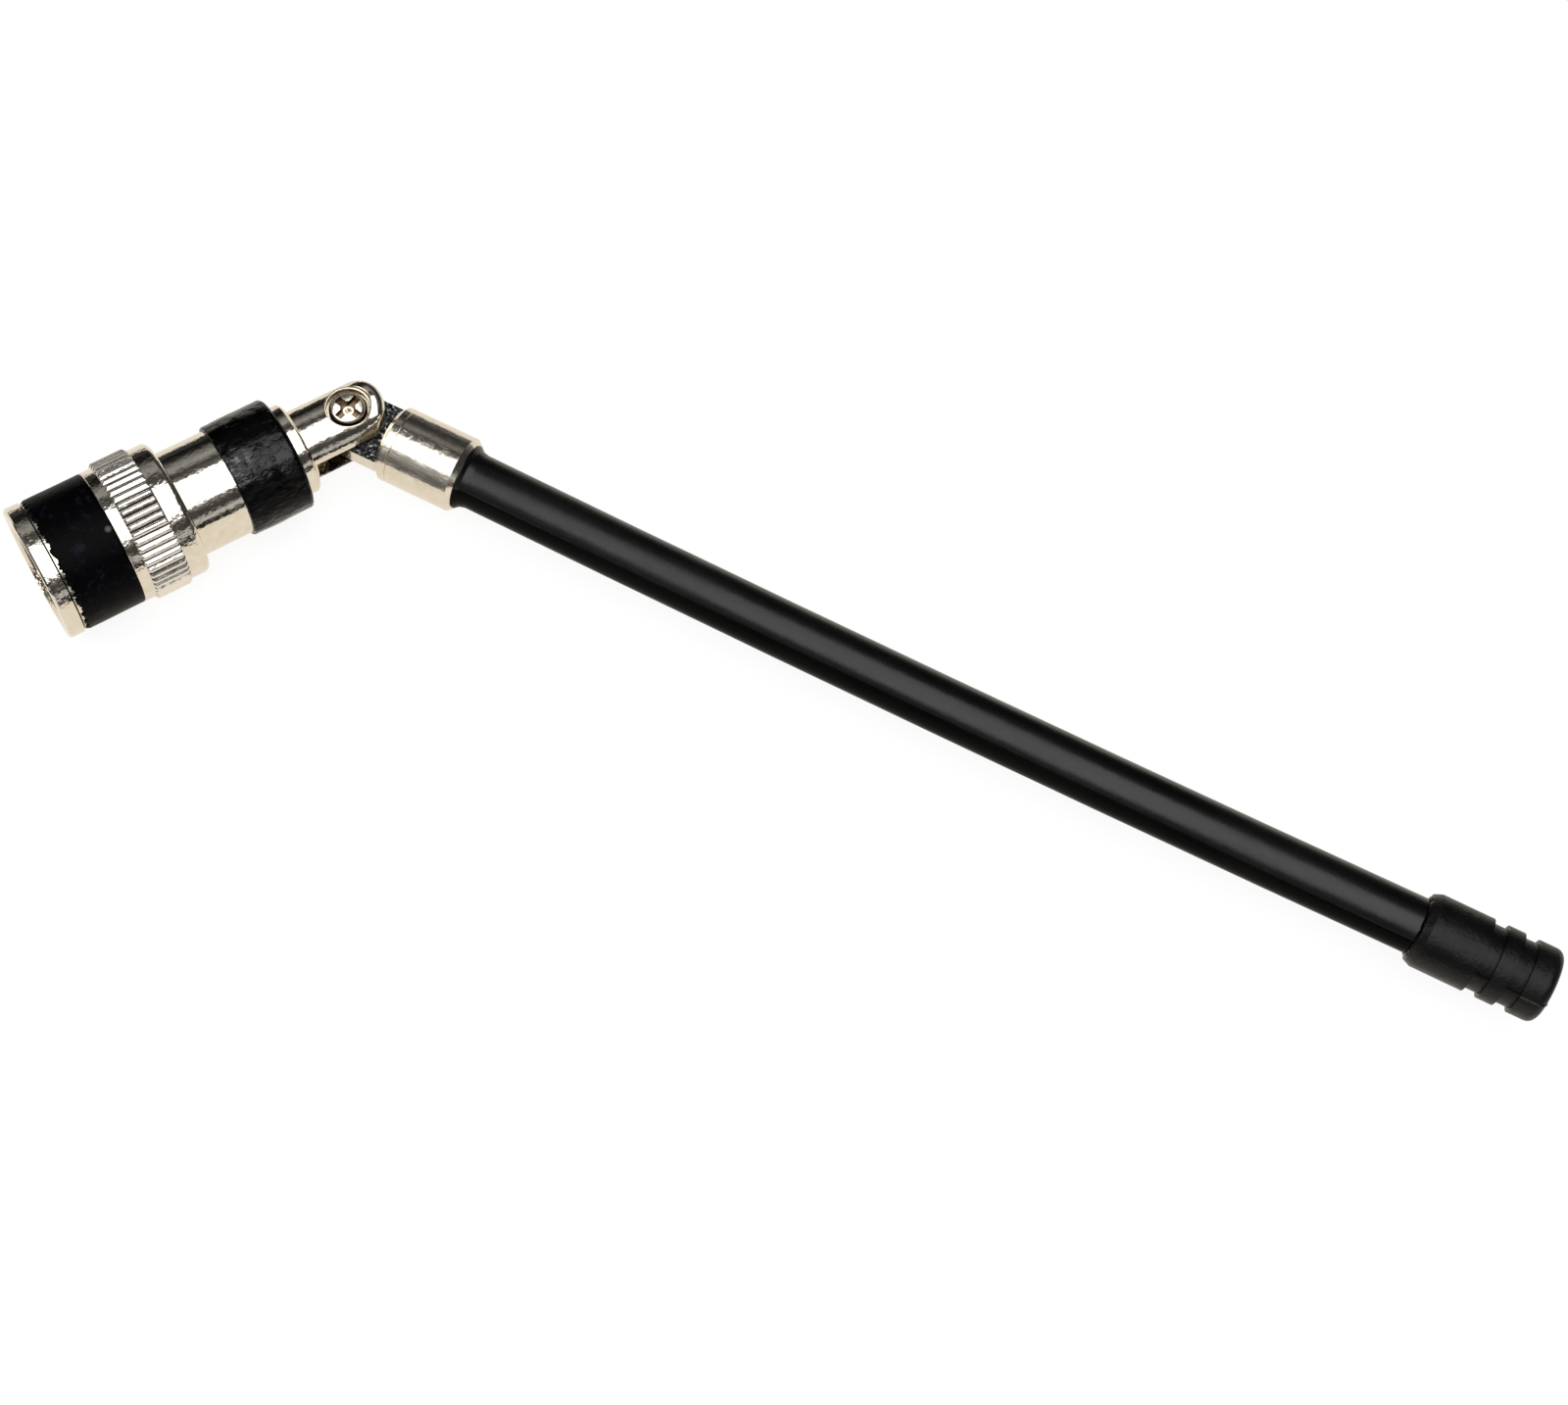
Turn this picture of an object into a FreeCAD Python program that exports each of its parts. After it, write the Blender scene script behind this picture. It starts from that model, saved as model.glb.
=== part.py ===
import FreeCAD, Part
import math
import os
import types
import Sketcher

# Foldable whip antenna on a bayonet coaxial plug.
# Frame in millimetres: the origin is the centre of the plug's mouth, X runs from the mouth to the hinge,
# Z is the hinge screw's axis, and the whip is folded from +X toward -Y as in the picture.

sizes = {
    # Coupling nut, outside
    "nut_ring_dia": 13.8,
    "nut_rim_len": 1.7,
    "nut_rim_bevel": 0.18,
    "nut_lip_len": 0.35,
    "nut_lip_drop": 0.25,
    "nut_edge_bevel": 0.08,
    "band_len": 5.91,
    "band_recess_depth": 0.65,
    "nut_plain_len": 1.16,
    "knurl_len": 3.74,
    "knurl_height": 0.35,
    "knurl_bevel": 0.22,
    "knurl_ribs": 56,
    "knurl_groove_width": 0.52,
    "knurl_groove_depth": 0.33,
    "knurl_groove_over": 0.02,
    "nut_tail_len": 2.16,
    "nut_rear_round": 0.65,
    "nut_clock": 18.2,

    # Coupling nut, inside
    "nut_bore_clearance": 0.275,
    "nut_mouth_bevel": 0.3,
    "nut_web_len": 1.4,
    "nut_web_clearance": 0.09,
    "nut_skirt_len": 1.95,
    "nut_skirt_clearance": 0.3,
    "lug_slot_width": 2.3,
    "lug_slot_depth": 0.8,
    "lug_cut_under": 0.4,
    "lug_entry_len": 1.6,
    "lug_slot_rise": 2.4,
    "lug_seat_dip": 0.35,
    "lug_seat_dia": 2.9,
    "lug_ramp_share": 0.95,

    # Black band over the nut
    "band_drop": 0.03,
    "band_bevel": 0.08,

    # Spring contact tube of the plug
    "contact_tip": 2.7,
    "contact_dia": 8.1,
    "contact_wall": 0.55,
    "contact_tip_bevel": 0.18,
    "contact_slit_width": 0.45,
    "contact_slit_len": 2.7,
    "contact_clock": 45.0,
    "contact_shoulder_len": 0.9,
    "contact_shoulder_step": 0.625,
    "neck_step": 0.15,
    "tail_len": 3.43,
    "tail_wall": 0.5,
    "gasket_len": 0.7,
    "gasket_wall": 0.95,
    "gasket_seat_depth": 0.4,

    # Spring pack of the nut
    "pack_gap": 0.04,
    "spring_free_play": 0.14,
    "spring_wire_len": 0.3,
    "spring_wire_width": 0.4,
    "spring_rise": 0.86,
    "spring_turns": 0.96,
    "spring_bore_clearance": 0.1,
    "thrust_len": 0.35,
    "thrust_wall": 0.47,
    "thrust_bore_clearance": 0.08,

    # Insulator and centre contact
    "bead_setback": 1.0,
    "bead_step": 0.2,
    "pin_setback": 0.3,
    "pin_dia": 1.35,
    "pin_point_len": 0.6,
    "pin_point_dia": 0.5,
    "pin_step_depth": 0.1,
    "pin_step_height": 0.375,
    "pin_end_gap": 1.0,
    "lead_dia": 1.1,
    "lead_joint_len": 1.9,

    # Plug body, black sleeve and rear bush
    "body_dia": 10.95,
    "body_len": 13.58,
    "body_bevel": 0.15,
    "sleeve_seat_len": 6.33,
    "sleeve_seat_depth": 0.325,
    "sleeve_wall": 0.72,
    "sleeve_overhang": 0.26,
    "sleeve_bevel": 0.16,
    "bush_gap": 0.5,
    "bush_wall": 0.3,
    "bush_floor_len": 0.6,
    "bush_collar_len": 0.3,
    "bush_collar_step": 0.7,
    "stem_dia": 4.0,

    # Fork of the hinge
    "flange_len": 1.33,
    "flange_dia": 9.4,
    "flange_bevel": 0.3,
    "fork_dia": 7.2,
    "fork_reach": 5.66,
    "fork_root_len": 0.32,
    "fork_edge_bevel": 0.12,
    "fork_end_round": 0.9,

    # Hinge screw, its cup and the friction washers
    "shank_dia": 2.5,
    "shank_clearance": 0.04,
    "shank_bevel": 0.2,
    "screw_bottom": 3.2,
    "cup_floor_z": 1.75,
    "cup_floor_len": 0.3,
    "cup_dia": 4.75,
    "cup_wall": 0.27,
    "cup_len": 1.23,
    "cup_round_share": 0.44,
    "head_clearance": 0.195,
    "head_len": 0.9,
    "head_round_share": 0.55,
    "recess_span": 2.9,
    "recess_wing": 0.8,
    "recess_depth": 0.7,
    "recess_centre_dia": 1.5,
    "recess_centre_depth": 1.25,
    "screw_clock": 20.0,
    "washer_len": 0.18,
    "washer_dia": 6.0,
    "fold_gap": 0.02,

    # Tongue and ferrule of the whip
    "fold_angle": 57.8,
    "tongue_len": 2.0,
    "tongue_width": 6.5,
    "tongue_root_gap": 0.2,
    "shoulder_gap": 1.15,
    "shoulder_bevel": 0.45,
    "score_setback": 1.25,
    "score_width": 0.16,
    "score_depth": 0.1,
    "ferrule_web_len": 2.65,
    "core_seat_len": 1.2,
    "socket_len": 4.53,
    "socket_step": 0.36,
    "ferrule_wall": 0.7,
    "ferrule_bevel_len": 0.5,
    "ferrule_bevel_drop": 0.42,

    # Whip sheath and core
    "whip_reach": 128.5,
    "whip_dia": 5.68,
    "whip_sag": 0.35,
    "flare_step": 0.15,
    "flare_flat_len": 0.1,
    "flare_knee_len": 0.5,
    "flare_knee_share": 0.333,
    "flare_len": 1.17,
    "core_dia": 2.2,
    "core_tip_step": 0.1,
    "sheath_tip_step": 0.19,
    "tip_step_depth": 0.85,
    "bend_end_depth": 1.25,

    # Tip cap
    "cap_len": 13.25,
    "cap_mouth_len": 0.75,
    "cap_mouth_rise": 0.32,
    "cap_lip_wall": 0.2,
    "cap_glue_wall": 0.38,
    "cap_fit": 0.03,
    "cap_pocket_len": 0.45,
    "cap_floor_gap": 0.1,
    "cap_end_round": 0.95,
    "cap_groove_width": 1.5,
    "cap_groove_depth": 0.42,
    "cap_groove_a_back": 7.25,
    "cap_groove_b_back": 4.15,
    "cap_rib_width": 0.24,
    "cap_rib_drop": 0.06,
    "cap_rib_root": 0.2,
    "cap_rib_over": 0.3,
    "cap_rib_clock": 54.0,
    "cap_core_cover": 5.0,
    "cap_sheath_cover": 8.5,
    "glue_proud": 0.12,

    # Cutters reach past what they cut
    "cut_over": 0.5,
}

doc = FreeCAD.newDocument("WhipAntenna")
sheet = doc.addObject("Spreadsheet::Sheet", "Dims")


class Length:
    """A length as a formula over the sheet's names, with the number it gives now."""

    def __init__(self, text, now):
        self.text = text
        self.now = now

    def __add__(self, other):
        return Length("(" + self.text + " + " + other.text + ")", self.now + other.now)

    def __sub__(self, other):
        return Length("(" + self.text + " - " + other.text + ")", self.now - other.now)

    def __neg__(self):
        return Length("(-" + self.text + ")", -self.now)

    def __mul__(self, other):
        other = as_length(other)
        return Length("(" + self.text + " * " + other.text + ")", self.now * other.now)

    def __truediv__(self, other):
        other = as_length(other)
        return Length("(" + self.text + " / " + other.text + ")", self.now / other.now)


def as_length(value):
    if isinstance(value, Length):
        return value
    return Length(str(value), value)


zero = Length("0", 0.0)
half_turn = Length("180", 180.0)
dim = types.SimpleNamespace()
for row, name in enumerate(sizes, start=1):
    sheet.set("A" + str(row), name)
    sheet.set("B" + str(row), str(sizes[name]))
    sheet.setAlias("B" + str(row), name)
    setattr(dim, name, Length("Dims." + name, sizes[name]))
doc.recompute()

# Places along the coupling nut
rim_end = dim.nut_rim_len
band_start = rim_end + dim.nut_lip_len
band_end = band_start + dim.band_len
knurl_start = band_end + dim.nut_plain_len
knurl_end = knurl_start + dim.knurl_len
nut_len = knurl_end + dim.nut_tail_len

# Places along the plug, worked back from the shell's front face under the nut's skirt
body_front = nut_len - dim.nut_skirt_len
web_rear = body_front - dim.pack_gap
web_front = web_rear - dim.nut_web_len
thrust_rear = web_front - dim.pack_gap
thrust_front = thrust_rear - dim.thrust_len
spring_rear = thrust_front - dim.spring_free_play
spring_front = spring_rear - dim.spring_rise - dim.spring_wire_len
shoulder_rear = spring_front - dim.pack_gap
shoulder_front = shoulder_rear - dim.contact_shoulder_len
gasket_front = shoulder_front - dim.gasket_len
bead_front = shoulder_front - dim.bead_setback
pin_step = bead_front + dim.pin_step_depth
pin_tip = dim.contact_tip + dim.pin_setback
tail_end = body_front + dim.tail_len
pin_end = tail_end - dim.pin_end_gap
lead_start = pin_end - dim.lead_joint_len

# Places from the plug's rear to the hinge
body_end = body_front + dim.body_len
sleeve_start = body_end - dim.sleeve_seat_len
sleeve_end = body_end + dim.sleeve_overhang
bush_start = tail_end + dim.bush_gap
stem_start = bush_start + dim.bush_floor_len
lead_end = stem_start + dim.lead_joint_len
bush_end = body_end + dim.bush_collar_len
flange_end = bush_end + dim.flange_len
fork_slot_start = flange_end + dim.fork_root_len
hinge_x = flange_end + dim.fork_reach

# Radii of the plug
ring_r = dim.nut_ring_dia / 2
recess_r = ring_r - dim.band_recess_depth
band_r = ring_r - dim.band_drop
knurl_r = ring_r + dim.knurl_height
contact_r = dim.contact_dia / 2
contact_bore_r = contact_r - dim.contact_wall
gasket_seat_r = contact_r - dim.gasket_seat_depth
shoulder_r = contact_r + dim.contact_shoulder_step
neck_r = contact_r + dim.neck_step
nut_bore_r = shoulder_r + dim.nut_bore_clearance
lug_slot_r = nut_bore_r + dim.lug_slot_depth
bead_r = contact_bore_r - dim.bead_step
tail_r = bead_r + dim.tail_wall
pin_r = dim.pin_dia / 2
pin_step_r = pin_r + dim.pin_step_height
lead_r = dim.lead_dia / 2
body_r = dim.body_dia / 2
sleeve_seat_r = body_r - dim.sleeve_seat_depth
sleeve_r = sleeve_seat_r + dim.sleeve_wall
bush_r = tail_r + dim.bush_wall
collar_r = bush_r + dim.bush_collar_step
stem_r = dim.stem_dia / 2
flange_r = dim.flange_dia / 2
fork_r = dim.fork_dia / 2

# Sizes across the hinge
slot_width = dim.tongue_len + dim.washer_len * 2 + dim.fold_gap * 2
shank_r = dim.shank_dia / 2
shank_hole_r = shank_r + dim.shank_clearance
cup_r = dim.cup_dia / 2
head_r = cup_r - dim.cup_wall - dim.head_clearance
head_seat = dim.screw_bottom + dim.cup_floor_z + dim.cup_floor_len
head_level = head_seat + dim.head_len

# Places along the whip, from the hinge axis
shoulder_u = fork_r + dim.shoulder_gap
score_u = shoulder_u + dim.score_setback
core_start = shoulder_u + dim.ferrule_web_len
socket_start = core_start + dim.core_seat_len
ferrule_end = socket_start + dim.socket_len
flare_end = ferrule_end + dim.flare_len
cap_start = dim.whip_reach - dim.cap_len
tip_step = cap_start + dim.tip_step_depth
bend_end = cap_start + dim.bend_end_depth
sheath_end = dim.whip_reach - dim.cap_sheath_cover
core_end = dim.whip_reach - dim.cap_core_cover
groove_a = dim.whip_reach - dim.cap_groove_a_back
groove_b = dim.whip_reach - dim.cap_groove_b_back
pocket_end = cap_start + dim.cap_pocket_len

# Radii of the whip
whip_r = dim.whip_dia / 2
socket_r = whip_r + dim.socket_step
flare_r = socket_r + dim.flare_step
ferrule_r = socket_r + dim.ferrule_wall
core_r = dim.core_dia / 2
core_tip_r = core_r - dim.core_tip_step
sheath_tip_r = whip_r - dim.sheath_tip_step
cap_bore_r = whip_r + dim.cap_fit
cap_pocket_r = cap_bore_r + dim.cap_glue_wall
cap_mouth_r = cap_pocket_r + dim.cap_lip_wall
cap_r = cap_mouth_r + dim.cap_mouth_rise
groove_r = cap_r - dim.cap_groove_depth

bodies = []


def make_body(name):
    body = doc.addObject("PartDesign::Body", name)
    body.Label = name
    bodies.append(body)
    return body


def make_sketch(body, name, plane, shift=zero):
    sketch = body.newObject("Sketcher::SketchObject", name)
    for item in body.Origin.OriginFeatures:
        if item.Role == plane:
            sketch.AttachmentSupport = [(item, "")]
    sketch.MapMode = "FlatFace"
    if shift is not zero:
        sketch.setExpression("AttachmentOffset.Base.z", shift.text)
    return sketch


def spot(along, across):
    return FreeCAD.Vector(along.now, across.now, 0)


def sized(sketch, constraint, length):
    """Ties a dimension of the sketch to a named size."""
    index = sketch.addConstraint(constraint)
    sketch.setExpression("Constraints[" + str(index) + "]", length.text)


def bind(sketch, kind, geo, pos, length):
    """Holds one coordinate of a sketch point at a named size."""
    if length is zero:
        axis = -2 if kind == "DistanceX" else -1
        sketch.addConstraint(Sketcher.Constraint("PointOnObject", geo, pos, axis))
    elif length.now < 0:
        sized(sketch, Sketcher.Constraint(kind, geo, pos, -1, 1, -length.now), -length)
    else:
        sized(sketch, Sketcher.Constraint(kind, -1, 1, geo, pos, length.now), length)


def join(sketch, count):
    """Closes a ring of edges end to end."""
    for i in range(count):
        sketch.addConstraint(Sketcher.Constraint("Coincident", i, 2, (i + 1) % count, 1))


def outline(sketch, points):
    """A closed outline of straight lines, each corner held by two named sizes."""
    corners = [spot(along, across) for along, across in points]
    count = len(corners)
    for i in range(count):
        sketch.addGeometry(Part.LineSegment(corners[i], corners[(i + 1) % count]), False)
    join(sketch, count)
    for i in range(count):
        bind(sketch, "DistanceX", i, 1, points[i][0])
        bind(sketch, "DistanceY", i, 1, points[i][1])


def turned(body, name, points, upright=False, cut=False):
    """A revolved solid or groove about X from (along, radius) corners, or about Z from (radius, level)."""
    sketch = make_sketch(body, name + "_outline", "XZ_Plane" if upright else "XY_Plane")
    outline(sketch, points)
    doc.recompute()
    kind = "PartDesign::Groove" if cut else "PartDesign::Revolution"
    feature = body.newObject(kind, name)
    feature.Profile = sketch
    feature.ReferenceAxis = (sketch, ["V_Axis" if upright else "H_Axis"])
    feature.Angle = 360.0
    doc.recompute()
    return feature


def both_ways(body, kind, name, sketch, length):
    """A pad or pocket that reaches half its length to each side of its sketch."""
    feature = body.newObject("PartDesign::" + kind, name)
    feature.Profile = sketch
    feature.Type = "Length"
    if hasattr(feature, "SideType"):
        feature.SideType = "Symmetric"
    else:
        feature.Midplane = True
    feature.setExpression("Length", length.text)
    doc.recompute()
    return feature


def slab(sketch, near, far, width):
    """A rectangle from near to far in x, centred on the sketch's x axis."""
    side = width / 2
    corners = [spot(near, -side), spot(far, -side), spot(far, side), spot(near, side)]
    for i in range(4):
        sketch.addGeometry(Part.LineSegment(corners[i], corners[(i + 1) % 4]), False)
    join(sketch, 4)
    sketch.addConstraint(Sketcher.Constraint("Horizontal", 0))
    sketch.addConstraint(Sketcher.Constraint("Vertical", 1))
    sketch.addConstraint(Sketcher.Constraint("Horizontal", 2))
    sketch.addConstraint(Sketcher.Constraint("Symmetric", 0, 1, 2, 2, -1))
    sized(sketch, Sketcher.Constraint("DistanceY", 0, 1, 2, 2, width.now), width)
    bind(sketch, "DistanceX", 0, 1, near)
    bind(sketch, "DistanceX", 0, 2, far)


def disc(sketch, along, radius):
    circle = Part.Circle(spot(along, zero), FreeCAD.Vector(0, 0, 1), radius.now)
    sketch.addGeometry(circle, False)
    if along is zero:
        sketch.addConstraint(Sketcher.Constraint("Coincident", 0, 3, -1, 1))
    else:
        sketch.addConstraint(Sketcher.Constraint("PointOnObject", 0, 3, -1))
        bind(sketch, "DistanceX", 0, 3, along)
    sized(sketch, Sketcher.Constraint("Radius", 0, radius.now), radius)


def edges_where(shape, test):
    names = []
    for index, edge in enumerate(shape.Edges):
        if test(edge):
            names.append("Edge" + str(index + 1))
    return names


def dressed(body, kind, name, test, length):
    """A fillet or chamfer on the edges of the body that pass a test."""
    base = body.Tip
    feature = body.newObject("PartDesign::" + kind, name)
    feature.Base = (base, edges_where(base.Shape, test))
    feature.setExpression("Radius" if kind == "Fillet" else "Size", length.text)
    doc.recompute()
    return feature


def is_ring(edge, centre, radius):
    """True for a circle of this radius about this centre."""
    if not isinstance(edge.Curve, Part.Circle):
        return False
    return edge.Curve.Center.distanceToPoint(centre) < 0.02 and abs(edge.Curve.Radius - radius.now) < 0.02


def copies(body, name, original, sketch, axis, count):
    """The same cut again and again round the axis."""
    pattern = body.newObject("PartDesign::PolarPattern", name)
    pattern.Originals = [original]
    pattern.Axis = (sketch, [axis])
    pattern.Angle = 360.0
    pattern.setExpression("Occurrences", count.text)
    body.Tip = pattern
    doc.recompute()
    return pattern


def clocked(body, angle):
    """Turns a body about X to the place that it has in the picture."""
    turn = FreeCAD.Rotation(FreeCAD.Vector(1, 0, 0), angle.now)
    body.Placement = FreeCAD.Placement(FreeCAD.Vector(0, 0, 0), turn)
    body.setExpression("Placement.Rotation.Angle", angle.text)


def at_hinge(body, level, angle=zero):
    """Sets a body on the hinge axis at a level, turned about that axis."""
    turn = FreeCAD.Rotation(FreeCAD.Vector(0, 0, 1), angle.now)
    body.Placement = FreeCAD.Placement(FreeCAD.Vector(hinge_x.now, 0, level.now), turn)
    body.setExpression("Placement.Base.x", hinge_x.text)
    if level is not zero:
        body.setExpression("Placement.Base.z", level.text)
    if angle is not zero:
        body.setExpression("Placement.Rotation.Angle", angle.text)


# Coupling nut
nut = make_body("coupling_nut")
nut_points = [
    (dim.nut_rim_bevel, ring_r),
    (rim_end - dim.nut_rim_bevel, ring_r),
    (rim_end, ring_r - dim.nut_lip_drop),
    (band_start, ring_r - dim.nut_lip_drop),
    (band_start, recess_r),
    (band_end, recess_r),
    (band_end, ring_r - dim.nut_edge_bevel),
    (band_end + dim.nut_edge_bevel, ring_r),
    (knurl_start, ring_r),
    (knurl_start, knurl_r - dim.knurl_bevel),
    (knurl_start + dim.knurl_bevel, knurl_r),
    (knurl_end - dim.knurl_bevel, knurl_r),
    (knurl_end, knurl_r - dim.knurl_bevel),
    (knurl_end, ring_r),
    (nut_len, ring_r),
    (nut_len, body_r + dim.nut_skirt_clearance),
    (web_rear, body_r + dim.nut_skirt_clearance),
    (web_rear, neck_r + dim.nut_web_clearance),
    (web_front, neck_r + dim.nut_web_clearance),
    (web_front, nut_bore_r),
    (dim.nut_mouth_bevel, nut_bore_r),
    (zero, nut_bore_r + dim.nut_mouth_bevel),
    (zero, ring_r - dim.nut_rim_bevel),
]
turned(nut, "nut_turned", nut_points)

entry = make_sketch(nut, "lug_entry_outline", "XY_Plane")
slab(entry, zero, dim.lug_entry_len + dim.lug_slot_width / 2, dim.lug_slot_width)
both_ways(nut, "Pocket", "lug_entry", entry, lug_slot_r * 2)

ramp = make_sketch(nut, "lug_ramp_outline", "XZ_Plane")
ramp_points = [
    (dim.lug_entry_len - dim.lug_slot_width / 2, nut_bore_r - dim.lug_cut_under),
    (dim.lug_entry_len + dim.lug_slot_width / 2, nut_bore_r - dim.lug_cut_under),
    (dim.lug_entry_len + dim.lug_slot_width / 2, lug_slot_r),
    (dim.lug_entry_len - dim.lug_slot_width / 2, lug_slot_r),
]
outline(ramp, ramp_points)
doc.recompute()
ramp_cut = nut.newObject("PartDesign::SubtractiveHelix", "lug_ramp")
ramp_cut.Profile = ramp
ramp_cut.ReferenceAxis = (ramp, ["H_Axis"])
ramp_cut.Mode = 0
ramp_cut.setExpression("Pitch", (dim.lug_slot_rise * 4).text)
ramp_cut.setExpression("Height", (dim.lug_slot_rise * dim.lug_ramp_share).text)
doc.recompute()
copies(nut, "lug_ramp_pair", ramp_cut, ramp, "H_Axis", as_length(2))

seat = make_sketch(nut, "lug_seat_outline", "XZ_Plane")
disc(seat, dim.lug_entry_len + dim.lug_slot_rise - dim.lug_seat_dip, dim.lug_seat_dia / 2)
both_ways(nut, "Pocket", "lug_seat", seat, lug_slot_r * 2)

nut_rear = spot(nut_len, zero)
dressed(nut, "Fillet", "nut_rear_corner", lambda edge: is_ring(edge, nut_rear, ring_r), dim.nut_rear_round)

groove = make_sketch(nut, "knurl_groove_outline", "YZ_Plane", (knurl_start + knurl_end) / 2)
groove_top = knurl_r + dim.knurl_groove_over
groove_root = knurl_r - dim.knurl_groove_depth
groove_side = dim.knurl_groove_width / 2
left = spot(-groove_side, groove_top)
right = spot(groove_side, groove_top)
root = spot(zero, groove_root)
groove.addGeometry(Part.LineSegment(left, right), False)
groove.addGeometry(Part.LineSegment(right, root), False)
groove.addGeometry(Part.LineSegment(root, left), False)
join(groove, 3)
groove.addConstraint(Sketcher.Constraint("Symmetric", 0, 1, 0, 2, -2))
groove.addConstraint(Sketcher.Constraint("PointOnObject", 1, 2, -2))
width_now = dim.knurl_groove_width.now
sized(groove, Sketcher.Constraint("DistanceX", 0, 1, 0, 2, width_now), dim.knurl_groove_width)
bind(groove, "DistanceY", 0, 1, groove_top)
bind(groove, "DistanceY", 1, 2, groove_root)
groove_cut = both_ways(nut, "Pocket", "knurl_groove", groove, dim.knurl_len + dim.cut_over * 2)
copies(nut, "knurl", groove_cut, groove, "N_Axis", dim.knurl_ribs)
clocked(nut, dim.nut_clock)

# Black band
band = make_body("nut_band")
band_points = [
    (band_start, recess_r),
    (band_end, recess_r),
    (band_end, band_r - dim.band_bevel),
    (band_end - dim.band_bevel, band_r),
    (band_start + dim.band_bevel, band_r),
    (band_start, band_r - dim.band_bevel),
]
turned(band, "band_turned", band_points)

# Spring contact tube, slit into four fingers
contact = make_body("outer_contact")
contact_points = [
    (dim.contact_tip, contact_bore_r + dim.contact_tip_bevel),
    (dim.contact_tip, contact_r - dim.contact_tip_bevel),
    (dim.contact_tip + dim.contact_tip_bevel, contact_r),
    (gasket_front, contact_r),
    (gasket_front, gasket_seat_r),
    (shoulder_front, gasket_seat_r),
    (shoulder_front, shoulder_r),
    (shoulder_rear, shoulder_r),
    (shoulder_rear, neck_r),
    (body_front, neck_r),
    (body_front, tail_r),
    (tail_end, tail_r),
    (tail_end, bead_r),
    (bead_front, bead_r),
    (bead_front, contact_bore_r),
    (dim.contact_tip + dim.contact_tip_bevel, contact_bore_r),
]
turned(contact, "contact_turned", contact_points)
slit_end = dim.contact_tip + dim.contact_slit_len
for letter, plane in (("a", "XY_Plane"), ("b", "XZ_Plane")):
    slit = make_sketch(contact, "slit_pair_" + letter + "_outline", plane)
    slab(slit, dim.contact_tip - dim.cut_over, slit_end, dim.contact_slit_width)
    both_ways(contact, "Pocket", "slit_pair_" + letter, slit, contact_r * 2 + dim.cut_over)
clocked(contact, dim.contact_clock)

# Gasket, insulating bead, centre pin and the lead behind it
gasket = make_body("mouth_gasket")
gasket_points = [
    (gasket_front, gasket_seat_r),
    (shoulder_front, gasket_seat_r),
    (shoulder_front, gasket_seat_r + dim.gasket_wall),
    (gasket_front, gasket_seat_r + dim.gasket_wall),
]
turned(gasket, "gasket_turned", gasket_points)

bead = make_body("front_insulator")
bead_points = [
    (bead_front, pin_r),
    (pin_step, pin_r),
    (pin_step, pin_step_r),
    (tail_end, pin_step_r),
    (tail_end, bead_r),
    (bead_front, bead_r),
]
turned(bead, "bead_turned", bead_points)

pin = make_body("centre_pin")
pin_points = [
    (pin_tip, zero),
    (pin_tip, dim.pin_point_dia / 2),
    (pin_tip + dim.pin_point_len, pin_r),
    (pin_step, pin_r),
    (pin_step, pin_step_r),
    (pin_end, pin_step_r),
    (pin_end, lead_r),
    (lead_start, lead_r),
    (lead_start, zero),
]
turned(pin, "pin_turned", pin_points)

lead = make_body("stem_lead")
lead_points = [
    (lead_start, zero),
    (lead_start, lead_r),
    (lead_end, lead_r),
    (lead_end, zero),
]
turned(lead, "lead_turned", lead_points)

# Spring pack that holds the nut back
spring = make_body("spring_washer")
spring_section = make_sketch(spring, "spring_section", "XY_Plane")
spring_bore_r = neck_r + dim.spring_bore_clearance
spring_points = [
    (spring_front, spring_bore_r),
    (spring_front + dim.spring_wire_len, spring_bore_r),
    (spring_front + dim.spring_wire_len, spring_bore_r + dim.spring_wire_width),
    (spring_front, spring_bore_r + dim.spring_wire_width),
]
outline(spring_section, spring_points)
doc.recompute()
spring_coil = spring.newObject("PartDesign::AdditiveHelix", "spring_coil")
spring_coil.Profile = spring_section
spring_coil.ReferenceAxis = (spring_section, ["H_Axis"])
spring_coil.Mode = 0
spring_coil.setExpression("Pitch", (dim.spring_rise / dim.spring_turns).text)
spring_coil.setExpression("Height", dim.spring_rise.text)
doc.recompute()

thrust = make_body("thrust_washer")
thrust_bore_r = neck_r + dim.thrust_bore_clearance
thrust_points = [
    (thrust_front, thrust_bore_r),
    (thrust_rear, thrust_bore_r),
    (thrust_rear, thrust_bore_r + dim.thrust_wall),
    (thrust_front, thrust_bore_r + dim.thrust_wall),
]
turned(thrust, "thrust_turned", thrust_points)

# Plug body, black sleeve and rear bush
shell = make_body("plug_body")
shell_points = [
    (body_front, tail_r),
    (body_front, body_r - dim.body_bevel),
    (body_front + dim.body_bevel, body_r),
    (sleeve_start, body_r),
    (sleeve_start, sleeve_seat_r),
    (body_end, sleeve_seat_r),
    (body_end, bush_r),
    (bush_start, bush_r),
    (bush_start, tail_r),
]
turned(shell, "shell_turned", shell_points)

sleeve = make_body("insulating_sleeve")
sleeve_points = [
    (sleeve_start, sleeve_seat_r),
    (sleeve_start, sleeve_r - dim.sleeve_bevel),
    (sleeve_start + dim.sleeve_bevel, sleeve_r),
    (sleeve_end - dim.sleeve_bevel, sleeve_r),
    (sleeve_end, sleeve_r - dim.sleeve_bevel),
    (sleeve_end, sleeve_seat_r),
]
turned(sleeve, "sleeve_turned", sleeve_points)

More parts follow.
